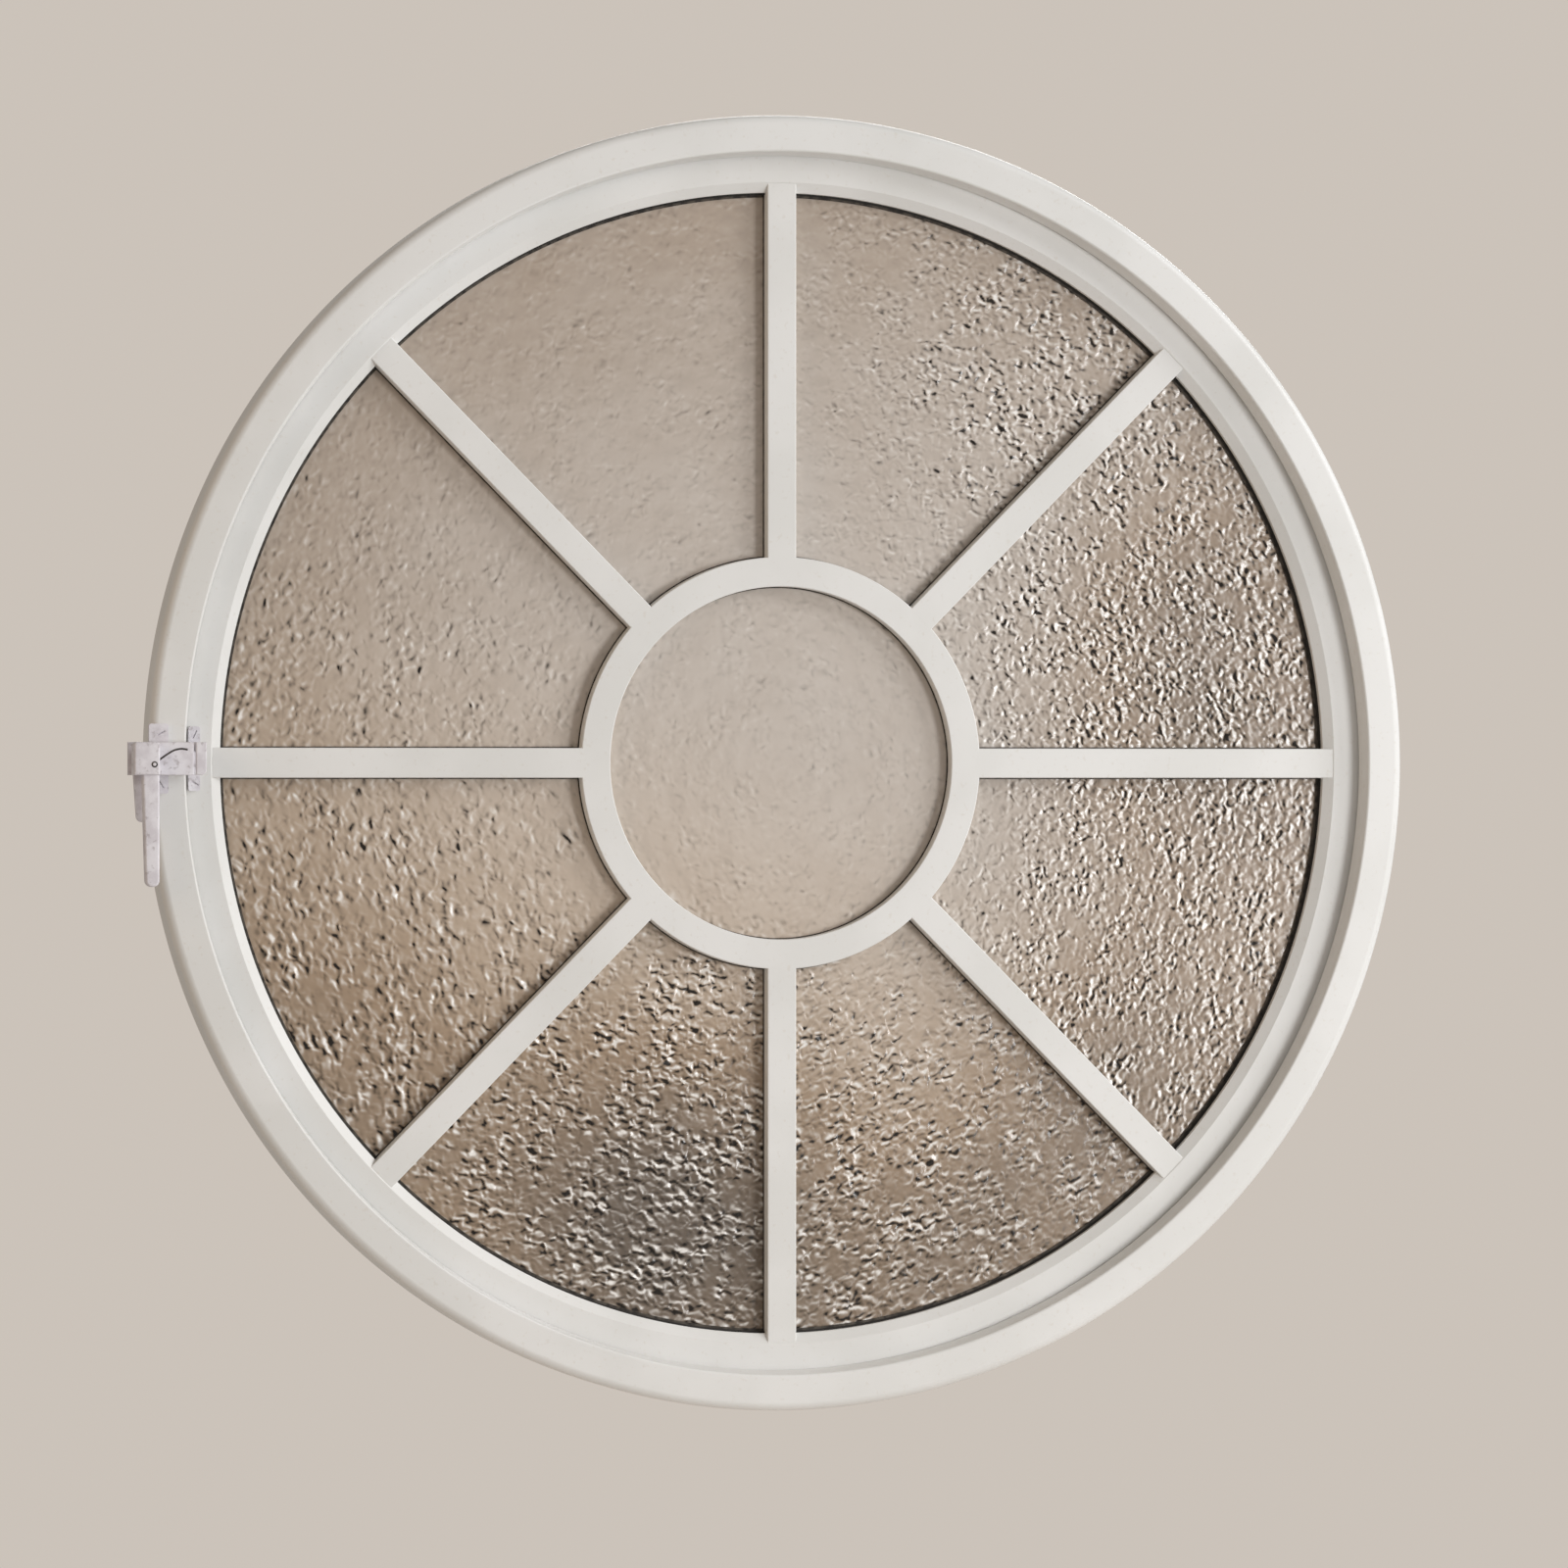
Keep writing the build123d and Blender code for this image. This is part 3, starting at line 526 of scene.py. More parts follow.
sashRing = {
    "radius": sashHigh[0],
    "face": sashLow[1],
    "back": sashHigh[1],
    "edge": 0.8,
    "lip": 449.3,
    "lipInner": 441.4,
    "bevel": 4.5,
    "lipThickness": 9.0,
    "pocket": 456.5,
    "rib": 4.0,
    "ribDepth": 16.0,
    "edgeWall": 4.5,
    "plate": 6.0,
}


def makeSashRing(v=sashRing):
    lipBack = v["face"] + v["lipThickness"]
    channelOuter = v["radius"] - v["edgeWall"]
    corners = [
        (v["lip"], v["face"], 0.8),
        (v["radius"], v["face"], v["edge"]),
        (v["radius"], v["back"], 0.5),
        (channelOuter, v["back"], 0.5),
        (channelOuter, v["face"] + v["plate"], 0.5),
        (v["pocket"] + v["rib"], v["face"] + v["plate"], 0.5),
        (v["pocket"] + v["rib"], lipBack + v["ribDepth"], 0.4),
        (v["pocket"], lipBack + v["ribDepth"], 0.4),
        (v["pocket"], lipBack, 0.4),
        (v["lipInner"], lipBack, 0.3),
        (v["lipInner"], v["face"] + v["bevel"], 0.6),
    ]
    ringPiece("sashRing", corners, white, "sash", "sash_ring")


makeSashRing()

gasket = {"inner": 440.0, "frontWidth": 7.5, "rearWidth": 12.7, "lip": 0.9, "edge": 0.3}


def makeGasket(name, node, inner, outer, v=gasket):
    low, high = nodeBox(node)
    ringPiece(name, [
        (inner, low[1], v["lip"]), (outer, low[1], v["edge"]),
        (outer, high[1], v["edge"]), (inner, high[1], v["lip"]),
    ], rubber, "sash", node)


makeGasket("frontGasket", "front_gasket", gasket["inner"], gasket["inner"] + gasket["frontWidth"])
rearGasketOuter = nodeBox("rear_gasket")[1][0]
makeGasket("rearGasket", "rear_gasket", rearGasketOuter - gasket["rearWidth"], rearGasketOuter)

rearBead = {"inner": 441.8, "foot": 14.2, "slope": 9.2, "bend": 4.5, "thickness": 3.0}


def makeRearBead(v=rearBead):
    low, high = nodeBox("rear_bead")
    outer, foot, back, t = high[0], low[1], high[1], v["thickness"]
    top = v["inner"] + v["slope"]
    ringPiece("rearBead", [
        (v["inner"], foot, 0.3),
        (v["inner"], foot + t, 0.8),
        (top, back, 2.0),
        (outer, back, 0.8),
        (outer, back - t, 0.3),
        (top + t, back - t, 0.8),
        (v["inner"] + v["bend"], foot + t, 0.8),
        (v["inner"] + v["foot"], foot + t, 0.3),
        (v["inner"] + v["foot"], foot, 0.3),
    ], white, "sash", "rear_bead")


makeRearBead()
print("sash made")


# Glazing bars: centre ring and eight spokes, with their caps behind the glass

glassFront, glassBack = nodeBox("centre_glass")[0][1], nodeBox("centre_glass")[1][1]
barFace = nodeBox("centre_ring")[0][1]
barCount = 8
barTurn = 2 * math.pi / barCount      # from one bar to the next
bars = {
    "ringOuter": nodeBox("centre_ring")[1][0],
    "width": 23.0,
    "round": 0.9,
    "web": 4.0,
    "webReach": 456.4,
    "rearRound": 2.0,
    "proud": 0.02,                    # spokes over the ring, too little to see
    "bury": 1.4,                      # spokes run into the ring
    "rows": 30,
    "segments": 240,
}
ringWeb = bars["ringOuter"] - bars["width"] / 2


def makeCentreRings(v=bars):
    outer, inner, webHalf = v["ringOuter"], v["ringOuter"] - v["width"], v["web"] / 2
    ringPiece("centreRing", [
        (inner, barFace, v["round"]), (outer, barFace, v["round"]),
        (outer, glassFront, 0.2), (ringWeb + webHalf, glassFront, 0),
        (ringWeb + webHalf, glassBack, 0.2), (ringWeb - webHalf, glassBack, 0.2),
        (ringWeb - webHalf, glassFront, 0), (inner, glassFront, 0.2),
    ], white, "sash", "centre_ring", v["segments"])
    low, high = nodeBox("centre_rear_ring")
    ringPiece("centreRearRing", [
        (inner, low[1], 0.2), (inner, high[1], v["rearRound"]),
        (outer, high[1], v["rearRound"]), (outer, low[1], 0.2),
    ], white, "sash", "centre_rear_ring", v["segments"])


makeCentreRings()


def lipRadiusAt(y, v=sashRing):
    # how far out the sash's bevel and lip lie at depth y, less a hair
    onBevel = v["lip"] - (v["lip"] - v["lipInner"]) * (y - v["face"]) / v["bevel"]
    lip = np.clip(onBevel, v["lipInner"], v["lip"])
    lip = np.where(y > v["face"] + v["lipThickness"], gasket["inner"], lip)
    return lip - 0.05


def bar(outline, innerRadius, outerRadius, rows, angle):
    # a section (across, depth) carried outwards, cut by circles at both ends:
    # distance = sqrt(radius^2 - across^2); the outer radius may change with the depth
    across, y = outline[:, 0][None], outline[:, 1][None]
    t = np.linspace(0, 1, rows)[:, None]
    start = np.sqrt(innerRadius ** 2 - across ** 2)
    if callable(outerRadius):
        outerRadius = outerRadius(y)
    stop = np.sqrt(outerRadius ** 2 - across ** 2)
    out = start + (stop - start) * t
    c, s = math.cos(angle), math.sin(angle)
    points = np.stack([out * c - across * s, y + 0 * out, out * s + across * c], -1).reshape(-1, 3)
    count = len(outline)
    return points, [gridFaces(rows, count, False, True), *endFaces(rows, count)]


def makeSpokes(v=bars):
    half, webHalf = v["width"] / 2, v["web"] / 2
    front = roundedOutline([
        (-half, glassFront, 0.2), (-half, barFace - v["proud"], v["round"]),
        (half, barFace - v["proud"], v["round"]), (half, glassFront, 0.2),
    ])
    webFront = glassFront + 0.01
    web = np.array([(-webHalf, glassBack), (webHalf, glassBack), (webHalf, webFront), (-webHalf, webFront)])
    low, high = nodeBox("rear_bar_1")
    back = high[1] + v["proud"]
    rear = roundedOutline([
        (-half, low[1], 0.2), (half, low[1], 0.2),
        (half, back, v["rearRound"]), (-half, back, v["rearRound"]),
    ], 3)
    beadInner = rearBead["inner"] - 0.1
    ringEdge = v["ringOuter"] - v["bury"]
    for index in range(barCount):
        angle = barTurn * index
        spoke = [
            bar(front, ringEdge, lipRadiusAt, v["rows"], angle),
            bar(web, ringWeb + webHalf + 0.1, v["webReach"], 2, angle),
        ]
        cap = [bar(rear, ringEdge, beadInner, v["rows"], angle)]
        for name, parts, node in (("spoke", spoke, "spoke_bar_"), ("rearBar", cap, "rear_bar_")):
            piece = buildMesh(f"{name}{index + 1}", parts, white)
            evenShading(piece)
            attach(piece, "sash")
            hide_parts(f"{node}{index + 1}")


makeSpokes()

sealantAndShadowLine = {"width": 0.9, "height": 0.6, "rimWidth": 1.8, "under": 0.2, "sunk": 0.3}


def makeSealantAndShadowLines(v=sealantAndShadowLine):
    # thin dark lines between the panes and the bars, and inside the front gasket: partly sealant, partly
    # painted shadow along the bars' edges and in the gap under the lip
    top, foot = glassFront - v["height"], glassFront + v["sunk"]
    half, outer, rim = bars["width"] / 2, bars["ringOuter"], gasket["inner"]
    inner = outer - bars["width"]
    lines = []
    for index in range(barCount):
        for side in (-1, 1):
            a, b = sorted((side * (half - v["under"]), side * (half + v["width"])))
            outline = np.array([(a, foot), (a, top), (b, top), (b, foot)])
            lines.append(bar(outline, outer, rim, bars["rows"], barTurn * index))
    rings = [
        (outer - v["under"], outer + v["width"]),
        (inner - v["width"], inner + v["under"]),
        (rim - v["rimWidth"], rim + v["under"]),
    ]
    for a, b in rings:
        outline = np.array([(a, foot), (b, foot), (b, top), (a, top)])
        lines.append(revolved(outline, bars["segments"]))
    piece = buildMesh("sealantAndShadowLines", lines, sealantAndShadow)
    evenShading(piece)
    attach(piece, "sash")


makeSealantAndShadowLines()
print("glazing bars made")


# Panes, hammered on the room side

relief = {
    "spacing": 1.2,                   # of the grid
    "outwards": 1.2,                  # times as many rows as the spacing asks for
    "edge": 455.0,
    "gap": 1.0,                       # between a pane and the web beside it
    "height": 0.16,
    "calm": 0.09,                     # strength where the pane is smooth
    "gain": 0.53,
    "sharpness": 1.5,                 # above 1 the ground stays even and a few painted glints stand out
    "inset": 0.05,                    # of the highest bump under the front
    "wide": 0.75,                     # share of the stretched bumps, and of the smaller round ones
    "fine": 0.48,
    "fineCell": 0.6,                  # their size against the stretched ones'
    "waver": (2.4, 3.0),              # how far the rows of bumps wander, out and across
    "waverCell": 7.0,
    "lean": 0.9,                      # share of the bumps' slope in the painted glints
    "spot": 2.3,                      # share of lone painted glints
    "spotCell": 0.62,
    "patchiness": 1.1,
    "patchCells": (30.0, 11.0),
    "patchRange": (0.25, 2.0),
    "swell": 0.035,                   # of the painted shading of the wide waves under the bumps
    "swellCell": 13.0,
    "cloud": 0.07,                    # how uneven the shade is
    "cloudCell": 45.0,
    "rearShade": 0.18,
}
# for each pane from the right one round, and the centre: size and stretch of its bumps, and
# whether the painted highlights on their bright sides look outwards or inwards
grain = [(5.0, 1.2, 1), (5.2, 1.25, 1), (6.0, 1.3, -1), (6.2, 1.4, -1), (6.2, 2.0, -1),
         (5.2, 1.9, -1), (5.2, 1.8, -1), (4.8, 1.25, 1), (6.4, 1.1, -1)]
# where the relief is lively: angle, spread, strength, and the radii where it starts and is full
lively = [
    (12, 36, 1.0, 120, 250), (256, 26, 1.0, 100, 180), (316, 24, 0.70, 110, 300),
    (340, 24, 0.55, 110, 300), (226, 20, 0.70, 130, 270), (196, 22, 0.50, 100, 330),
    (52, 20, 0.9, 210, 340), (286, 16, 0.9, 120, 300), (170, 20, 0.25, 100, 300),
]
# painted shade of what the glass shows beyond it, darker patches: x, z, spread and depth, and how dark the
# panes are painted at each radius
shaded = [(293, 62, 80, 0.17), (-332, -224, 95, 0.26), (-80, -320, 100, 0.66), (-150, -370, 70, 0.10),
          (133, -409, 75, 0.21), (-40, -420, 80, 0.16), (345, -30, 80, 0.32), (330, 125, 65, 0.28),
          (265, -245, 90, 0.42), (165, -350, 60, 0.16)]
shadeByRadius = ([0, 120, 210, 290, 357, 407, 460], [0, 0.02, 0.08, 0.15, 0.25, 0.32, 0.38])
dice = np.random.default_rng(11)
slopes = dice.uniform(0, 2 * math.pi, (64, 64))


def smoothStep(v, low, high):
    q = np.clip((v - low) / (high - low), 0, 1)
    return q * q * (3 - 2 * q)


def softNoise(x, z, cell, shift):
    # smooth noise from random slopes on a square lattice, about -0.7 to 0.7
    u, w = x / cell + 500.0 + shift * 7.3, z / cell + 500.0 + shift * 3.1
    i, k = np.floor(u).astype(int), np.floor(w).astype(int)
    fu, fw = u - i, w - k
    su, sw = smoothStep(fu, 0, 1), smoothStep(fw, 0, 1)

    def corner(du, dw):
        a = slopes[(i + du) % 64, (k + dw) % 64]
        return np.cos(a) * (fu - du) + np.sin(a) * (fw - dw)

    low = corner(0, 0) * (1 - su) + corner(1, 0) * su
    high = corner(0, 1) * (1 - su) + corner(1, 1) * su
    return low * (1 - sw) + high * sw


def strengthAt(x, z, v=relief):
    # 0 where the pane is smooth, 1 where it is lively
    radius, angle = np.hypot(x, z), np.degrees(np.arctan2(z, x))
    rest = np.ones_like(x)
    for middle, spread, amount, start, full in lively:
        away = (angle - middle + 180) % 360 - 180
        rest *= 1 - (amount * np.exp(-(away / spread) ** 2) * smoothStep(radius, start, full)) ** 2
    strength = np.sqrt(1 - rest)
    return strength + (1 - strength) * v["calm"] * (1 + smoothStep(-z, 60, 300))


def alongPane(x, z, seed, v=relief):
    # distances out along the pane's middle line and across it, a little wavy
    a = barTurn * (seed + 0.5)
    out = x * math.cos(a) + z * math.sin(a) + v["waver"][0] * softNoise(x, z, v["waverCell"], 1)
    across = z * math.cos(a) - x * math.sin(a) + v["waver"][1] * softNoise(x, z, v["waverCell"], 2)
    return out, across


def bumpsAt(x, z, seed, v=relief):
    # relief before it is scaled: stretched bumps and smaller round ones
    cell, stretch, _ = grain[seed]
    out, across = alongPane(x, z, seed)
    wide = softNoise(out, across / stretch, cell, seed)
    fine = softNoise(out, across, cell * v["fineCell"], seed + 20)
    return (v["wide"] * wide + v["fine"] * fine) * cell


def paneData(x, z, seed, v=relief):
    # height of the bumps, their painted highlights and shadows, and the painted shade of the pane
    strength = strengthAt(x, z)
    cell, stretch, sign = grain[seed]
    step = 0.5            # half the distance over which the slopes are taken
    aside = sign * step / np.maximum(np.hypot(x, z), 30.0)
    lean, swell = 0, 0
    for side in (-1, 1):
        nearX, nearZ = x * (1 - side * aside), z * (1 - side * aside)
        lean = lean + side * bumpsAt(nearX, nearZ, seed) / (2 * step)
        wave = softNoise(nearX, nearZ, v["swellCell"], 4) * v["swellCell"]
        swell = swell + side * wave / (2 * step)
    out, across = alongPane(x, z, seed)
    spot = softNoise(out, across / stretch, cell * v["spotCell"], seed + 30)
    patch = softNoise(x, z, v["patchCells"][0], 5) + softNoise(x, z, v["patchCells"][1], 8)
    patch = np.clip(1 + v["patchiness"] * patch, *v["patchRange"])
    catch = (v["lean"] * lean + v["spot"] * spot) * patch
    # painted glints, the highlights and shadows of the bumps: sign(catch) |catch|^sharpness
    paintedGlints = np.sign(catch) * np.abs(catch) ** v["sharpness"] * strength * v["gain"]
    # painted shade: darker towards the rim and in patches
    shade = np.interp(np.hypot(x, z), *shadeByRadius)
    for px, pz, spread, amount in shaded:
        shade = shade + amount * np.exp(-((x - px) ** 2 + (z - pz) ** 2) / (2 * spread ** 2))
    shade = shade + v["cloud"] * softNoise(x, z, v["cloudCell"], 6)
    return bumpsAt(x, z, seed) * strength * patch, paintedGlints + v["swell"] * swell, shade


def makePane(name, node, x, z, seed, v=relief):
    # front on a grid of x, z with the bumps standing out, a flat back and a wall between
    height, glint, shade = paneData(x, z, seed)
    y = glassFront + v["inset"] + v["height"] * (height.max() - height)
    front = np.stack([x, y, z], -1).reshape(-1, 3)
    rows, columns = x.shape
    rim = np.concatenate([
        np.arange(columns), np.arange(1, rows) * columns + columns - 1,
        (rows - 1) * columns + np.arange(columns - 2, -1, -1), np.arange(rows - 2, 0, -1) * columns,
    ])
    back = front[rim].copy()
    back[:, 1] = glassBack
    count, edge = len(front), np.arange(len(rim))
    ahead = (edge + 1) % len(rim)
    wall = np.stack([rim[ahead], rim[edge], count + edge, count + ahead], -1)
    faces = [gridFaces(rows, columns), wall, (count + edge[::-1])[None]]
    turn = np.cross(front[1] - front[0], front[columns] - front[0])[1] > 0
    piece = buildMesh(name, [(np.concatenate([front, back]), faces)], hammered, flip=turn)
    # for each attribute its values on the front and the one on the back
    attributes = {
        "glint": (np.clip(glint, -1, 1), 0.0),
        "shade": (shade, v["rearShade"]),
        "rear": (np.zeros_like(shade), 1.0),
    }
    for key, (values, rest) in attributes.items():
        full = np.concatenate([values.ravel(), np.full(len(rim), rest)])
        layer = piece.data.attributes.new(key, "FLOAT", "POINT")
        layer.data.foreach_set("value", full.astype(np.float32))
    piece.data.set_sharp_from_angle(angle=math.radians(65))
    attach(piece, "sash")
    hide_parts(node)


def makeSectorPane(index, v=relief):
    # rings of points from the centre ring out, between two bars: x = r cos a, z = r sin a
    offset = bars["web"] / 2 + v["gap"]
    inner, outer = ringWeb + offset, v["edge"]
    rows = int(v["outwards"] * (outer - inner) / v["spacing"])
    columns = int(outer * barTurn / v["spacing"])
    r = np.linspace(inner, outer, rows)[:, None]
    margin = np.arcsin(offset / r)
    across = (barTurn - 2 * margin) * np.linspace(0, 1, columns)[None]
    a = barTurn * index + margin + across
    makePane(f"pane{index + 1}", f"glass_pane_{index + 1}", r * np.cos(a), r * np.sin(a), index)


def makeCentrePane(v=relief):
    radius = ringWeb - bars["web"] / 2 - v["gap"]
    side = int(2 * radius / v["spacing"])
    a, b = np.meshgrid(*[np.linspace(-1, 1, side)] * 2, indexing="ij")
    # a square grid drawn out to a disc: x = a sqrt(1 - b^2 / 2), z = b sqrt(1 - a^2 / 2)
    x, z = radius * a * np.sqrt(1 - b * b / 2), radius * b * np.sqrt(1 - a * a / 2)
    makePane("centrePane", "centre_glass", x, z, barCount)


for paneIndex in range(barCount):
    makeSectorPane(paneIndex)
makeCentrePane()
print("panes made")


# CAD nodes that stay: latch and hinges

def dress(nodeName, material):
    # joins the node's loose triangles, and keeps its edges crisp
    node = nodes[nodeName]
    node.data.materials.clear()
    node.data.materials.append(material)
    node.data.polygons.foreach_set("use_smooth", np.ones(len(node.data.polygons), bool))
    weld = node.modifiers.new("weld", "WELD")
    weld.merge_threshold = 0.000005
    split = node.modifiers.new("edges", "EDGE_SPLIT")
    split.split_angle = math.radians(28)


for nodeName in ("latch_base", "lever_handle", "strike", "latch_tongue"):
    dress(nodeName, cool)
for nodeName in ("lever_spindle", "spindle_washer"):
    dress(nodeName, steel)
for end in ("upper", "lower"):
    dress(f"hinge_frame_leaf_{end}", white)
    dress(f"hinge_sash_leaf_{end}", white)
    dress(f"hinge_pin_{end}", steel)


# Screws with slots, in the places of the CAD's plain ones

screw = {
    "head": 3.4,
    "shank": 1.75,
    "edge": 0.35,
    "slot": 0.9,
    "slotDepth": 1.0,
    "pan": 2.2,                       # height of a pan head
    "lengths": {"latch": 8.0, "strike": 7.5, "leaf": 5.5, "jamb": 14.0, "bead": 12.0},
}


def box(origin, axis, across, length, width, depth):
    # a block along "across" that reaches as far as depth on both sides of the plane at origin
    axis, across = np.array(axis, float), np.array(across, float)
    side = np.cross(axis, across)
    signs = np.array([(a, b, c) for a in (-1, 1) for b in (-1, 1) for c in (-1, 1)])
    points = (np.array(origin) + signs[:, :1] * across * length / 2 + signs[:, 1:2] * side * width / 2
              + signs[:, 2:] * axis * depth)
    quads = np.array([(0, 1, 3, 2), (4, 6, 7, 5), (0, 4, 5, 1), (2, 3, 7, 6), (0, 2, 6, 4), (1, 5, 7, 3)])
    return points, [quads]


def makeScrews(kind, node, body, material, places, pan=False, v=screw):
    # places: middle of each head, outward axis and the direction of its slot
    head, shank, edge, length = v["head"], v["shank"], v["edge"], v["lengths"][kind]
    top = v["pan"] if pan else 0.0
    if pan:
        corners = [(0.01, top), (head, top, 1.2), (head, 0, 0.1), (shank, 0)]
    else:
        corners = [(0.01, 0), (head, 0, 0.15), (head, -edge), (shank, shank - head - edge)]
    outline = roundedOutline([*corners, (shank, -length, 0.3), (0.01, -length)], 5)
    screws = [turned(outline, origin, axis) for origin, axis, across in places]
    piece = buildMesh(f"{kind}Screws", screws, material)
    slots = []
    for origin, axis, across in places:
        surface = np.array(origin) + np.array(axis) * top
        slots.append(box(surface, axis, across, 2 * head + 1.0, v["slot"], v["slotDepth"]))
    carve(piece, buildMesh("slots", slots, material))
    evenShading(piece, 30)
    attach(piece, body)
    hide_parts(node)


def facingRoom(node, angles):
    # one screw at each end of the node's box, facing the room, with its slot at an angle
    low, high = nodeBox(node)
    x, y = (low[0] + high[0]) / 2, low[1]
    ends = (high[2] - screw["head"], low[2] + screw["head"])
    return [((x, y, z), (0, -1, 0), (math.cos(a), 0, math.sin(a))) for z, a in zip(ends, angles)]


latchPlaces = facingRoom("latch_base_screws", (0.5, 2.2))
strikePlaces = facingRoom("strike_screws", (1.1, 2.6))
makeScrews("latch", "latch_base_screws", "frame", cool, latchPlaces)
makeScrews("strike", "strike_screws", "sash", cool, strikePlaces)

# the hinges' screws: flat on the sash's leaves, and across the jamb towards the middle
hingeHeights = (52.0, 28.0, -28.0, -52.0)
leafScrewBox, jambScrewBox = nodeBox("hinge_sash_screws"), nodeBox("hinge_frame_screws")
leafX = (leafScrewBox[0][0] + leafScrewBox[1][0]) / 2
jambRadius = 479.8
jambY = (jambScrewBox[0][1] + jambScrewBox[1][1]) / 2
leafPlaces = [
    ((leafX, leafScrewBox[1][1], z), (0, 1, 0), (math.cos(z), 0, math.sin(z))) for z in hingeHeights
]
jambPlaces = []
for z in hingeHeights:
    a = math.asin(z / jambRadius)
    inward = (-math.cos(a), 0, -math.sin(a))
    origin = (jambRadius * math.cos(a), jambY, z)
    jambPlaces.append((origin, inward, (0, 1, 0)))
makeScrews("leaf", "hinge_sash_screws", "sash", steel, leafPlaces)
makeScrews("jamb", "hinge_frame_screws", "frame", steel, jambPlaces)

# one screw in the rear bead behind the middle of each pane
beadCircle = 467.25
beadPlaces = []
for index in range(barCount):
    a = barTurn * (index + 0.5)
    origin = (beadCircle * math.cos(a), sashHigh[1], beadCircle * math.sin(a))
    beadPlaces.append((origin, (0, 1, 0), (math.cos(3 * a), 0, math.sin(3 * a))))
makeScrews("bead", "rear_bead_screws", "sash", steel, beadPlaces, pan=True)


# A pin in the lever's boss, with a dark disc that paints the shade in the hole round it, and a wire spring on
# the hood

latchPin = {"at": (-500.6, -1.4), "radius": 1.3, "rise": 0.35, "ring": 2.4, "ringRise": 0.12, "sunk": -0.5}
spring = {
    "path": [(-498.0, -0.6), (-494.0, 2.6), (-488.5, 6.4), (-483.5, 9.4), (-478.0, 10.6), (-472.5, 9.8)],
    "radius": 0.8,
    "sunk": 0.3,
    "points": 60,
    "blur": 15,                       # points over which the path's corners are smoothed
    "sides": 12,
}


def makeLatchPin(v=latchPin):
    front = nodeBox("lever_handle")[0][1]
    x, z = v["at"]
    origin, axis = (x, front, z), (0, -1, 0)
    parts = [
        # a dark disc round the pin: painted shade in the hole about it
        ("pinHoleShade", sealantAndShadow, v["ring"], v["ringRise"], 0.05),
        ("latchPin", cool, v["radius"], v["rise"], 0.2),
    ]
    for name, material, radius, rise, edge in parts:
        corners = [(0.01, rise), (radius, rise, edge), (radius, v["sunk"]), (0.01, v["sunk"])]
        piece = buildMesh(name, [turned(roundedOutline(corners), origin, axis)], material)
        evenShading(piece)
        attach(piece, "lever")


def makeSpring(v=spring):
    # a round wire along a smooth line, lying on the hood: each ring of points is
    # middle + radius (cos turn * sideways + sin turn * depth)
    knots, sides = np.array(v["path"], float), v["sides"]
    t = np.linspace(0, len(knots) - 1, v["points"])
    x, z = (np.interp(t, np.arange(len(knots)), knots[:, i]) for i in (0, 1))
    blur = np.hanning(v["blur"]) / np.hanning(v["blur"]).sum()
    x, z = (np.convolve(np.pad(q, v["blur"] // 2, mode="edge"), blur, mode="valid") for q in (x, z))
    ahead = np.stack([np.gradient(x), np.gradient(z)], -1)
    ahead /= np.linalg.norm(ahead, axis=1)[:, None]
    turn = np.linspace(0, 2 * math.pi, sides, endpoint=False)
    y = nodeBox("latch_base")[0][1] + v["sunk"] + v["radius"] * np.sin(turn)[None]
    side = v["radius"] * np.cos(turn)[None]
    rings = [x[:, None] - side * ahead[:, 1:], y + 0 * x[:, None], z[:, None] + side * ahead[:, :1]]
    faces = [gridFaces(len(x), sides, False, True), *endFaces(len(x), sides)]
    piece = buildMesh("latchSpring", [(np.stack(rings, -1).reshape(-1, 3), faces)], blackSteel)
    evenShading(piece, 60)
    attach(piece, "frame")


makeLatchPin()
makeSpring()
print("latch and hinges dressed")


# Stage: floor, world, lamps and camera

studio = {
    "backdrop": (0.60, 0.545, 0.49),
    "floor": (0.72, 0.66, 0.60),
    "floorDrop": 450.0,               # floor below the ring, in millimetres
    "floorReach": 30.0,               # metres
    "fade": (0.9, 2.6),               # metres from the middle where the floor gives way
    "ambient": 0.27,
    "ambientColour": (1.0, 0.985, 0.96),
}


def makeFloor(v=studio):
    s, z = v["floorReach"], cadLow.z - v["floorDrop"] * mm
    mesh = bpy.data.meshes.new("floor")
    mesh.from_pydata([(-s, -s, z), (s, -s, z), (s, s, z), (-s, s, z)], [], [(0, 1, 2, 3)])
    floor = bpy.data.objects.new("floor", mesh)
    bpy.context.scene.collection.objects.link(floor)
    paint = Finish("floor", Roughness=0.9, Base_Color=v["floor"])
    # far from the part the floor gives way to the plain backdrop
    distance = paint.vector("LENGTH", paint.place, output=1)
    clear = paint.node("ShaderNodeBsdfTransparent", {}, {})
    covered = Wire(paint, paint.shader.outputs[0])
    mixed = paint.node("ShaderNodeMixShader", {}, {0: distance.ramp(*v["fade"]), 1: covered, 2: clear})
    paint.tree.links.new(mixed.socket, paint.tree.nodes["Material Output"].inputs[0])
    mesh.materials.append(paint.material)


makeFloor()


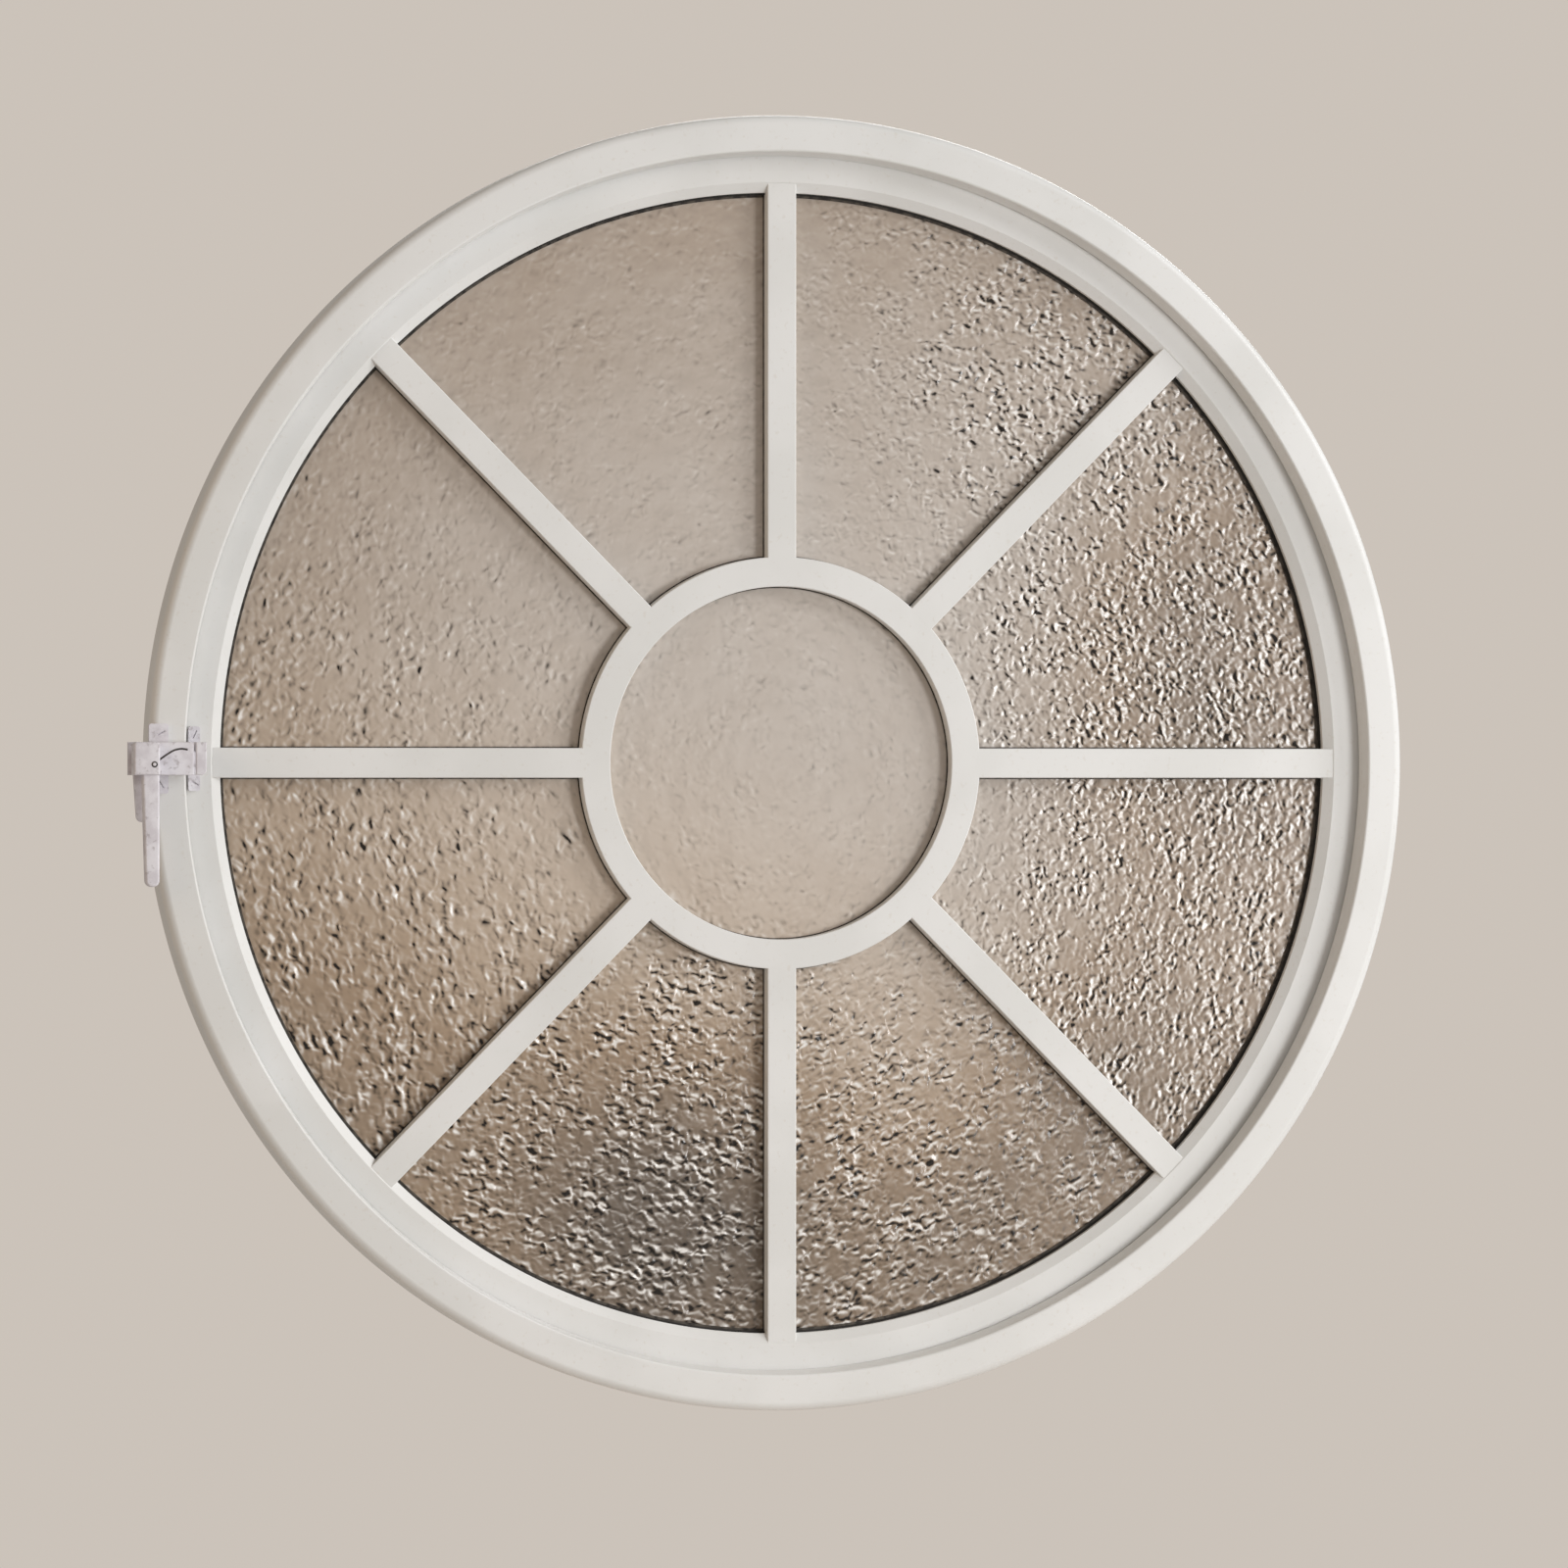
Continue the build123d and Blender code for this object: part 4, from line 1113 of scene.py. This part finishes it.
def makeWorld(v=studio):
    # what the camera and the glass see is the backdrop, and what lights the part is dimmer
    world = bpy.data.worlds.new("studio")
    bpy.context.scene.world = world
    world.use_nodes = True
    tree = world.node_tree
    shown = tree.nodes["Background"]
    shown.inputs[0].default_value = (*v["backdrop"], 1)
    shown.inputs[1].default_value = 1.0
    lit = tree.nodes.new("ShaderNodeBackground")
    lit.inputs[0].default_value = (*v["ambientColour"], 1)
    lit.inputs[1].default_value = v["ambient"]
    rays = tree.nodes.new("ShaderNodeLightPath")
    seen = tree.nodes.new("ShaderNodeMath")
    seen.operation = "MAXIMUM"
    tree.links.new(rays.outputs["Is Camera Ray"], seen.inputs[0])
    tree.links.new(rays.outputs["Is Transmission Ray"], seen.inputs[1])
    mixer = tree.nodes.new("ShaderNodeMixShader")
    tree.links.new(seen.outputs[0], mixer.inputs[0])
    tree.links.new(lit.outputs[0], mixer.inputs[1])
    tree.links.new(shown.outputs[0], mixer.inputs[2])
    tree.links.new(mixer.outputs[0], tree.nodes["World Output"].inputs[0])


makeWorld()

lamps = {
    "key": {"at": (4.9, -2.35, 2.25), "size": 3.0, "power": 182.0, "colour": (1.0, 0.995, 0.99)},
    "front": {"at": (2.3, -3.2, -0.2), "size": 1.2, "power": 62.0, "colour": (1.0, 1.0, 1.0)},
    "fill": {"at": (-2.2, -1.0, 0.7), "size": 1.6, "power": 9.0, "colour": (1.0, 0.70, 0.42)},
    "behind": {"at": (1.5, 3.5, 2.0), "size": 2.5, "power": 110.0, "colour": (1.0, 0.98, 0.95)},
}


def makeLamp(name, v):
    data = bpy.data.lights.new(name, "AREA")
    data.shape = "DISK"
    data.size = v["size"]
    data.energy = v["power"]
    data.color = v["colour"]
    lamp = bpy.data.objects.new(name, data)
    lamp.location = v["at"]
    bpy.context.scene.collection.objects.link(lamp)
    direction = -lamp.location
    lamp.rotation_euler = direction.to_track_quat("-Z", "Y").to_euler()


for lampName, lampValues in lamps.items():
    makeLamp(lampName, lampValues)

view = {
    "azimuth": -14.9,                 # degrees round from straight on; the camera is at the left
    "elevation": 0.0,
    "distance": 6.75,
    "lens": 200.0,                    # millimetres, as the sensor
    "sensor": 36.0,
    "aim": (0.0044, 0.0, -0.0162),
}


def makeCamera(v=view):
    data = bpy.data.cameras.new("camera")
    data.lens = v["lens"]
    data.sensor_width = v["sensor"]
    camera = bpy.data.objects.new("camera", data)
    bpy.context.scene.collection.objects.link(camera)
    a, e = math.radians(v["azimuth"]), math.radians(v["elevation"])
    back = np.array((math.sin(a) * math.cos(e), -math.cos(a) * math.cos(e), math.sin(e)))
    camera.location = np.array(v["aim"]) + back * v["distance"]
    camera.rotation_euler = mathutils.Vector(-back).to_track_quat("-Z", "Y").to_euler()
    bpy.context.scene.camera = camera


makeCamera()
bpy.context.scene.view_settings.view_transform = "Standard"

print("scene ready")
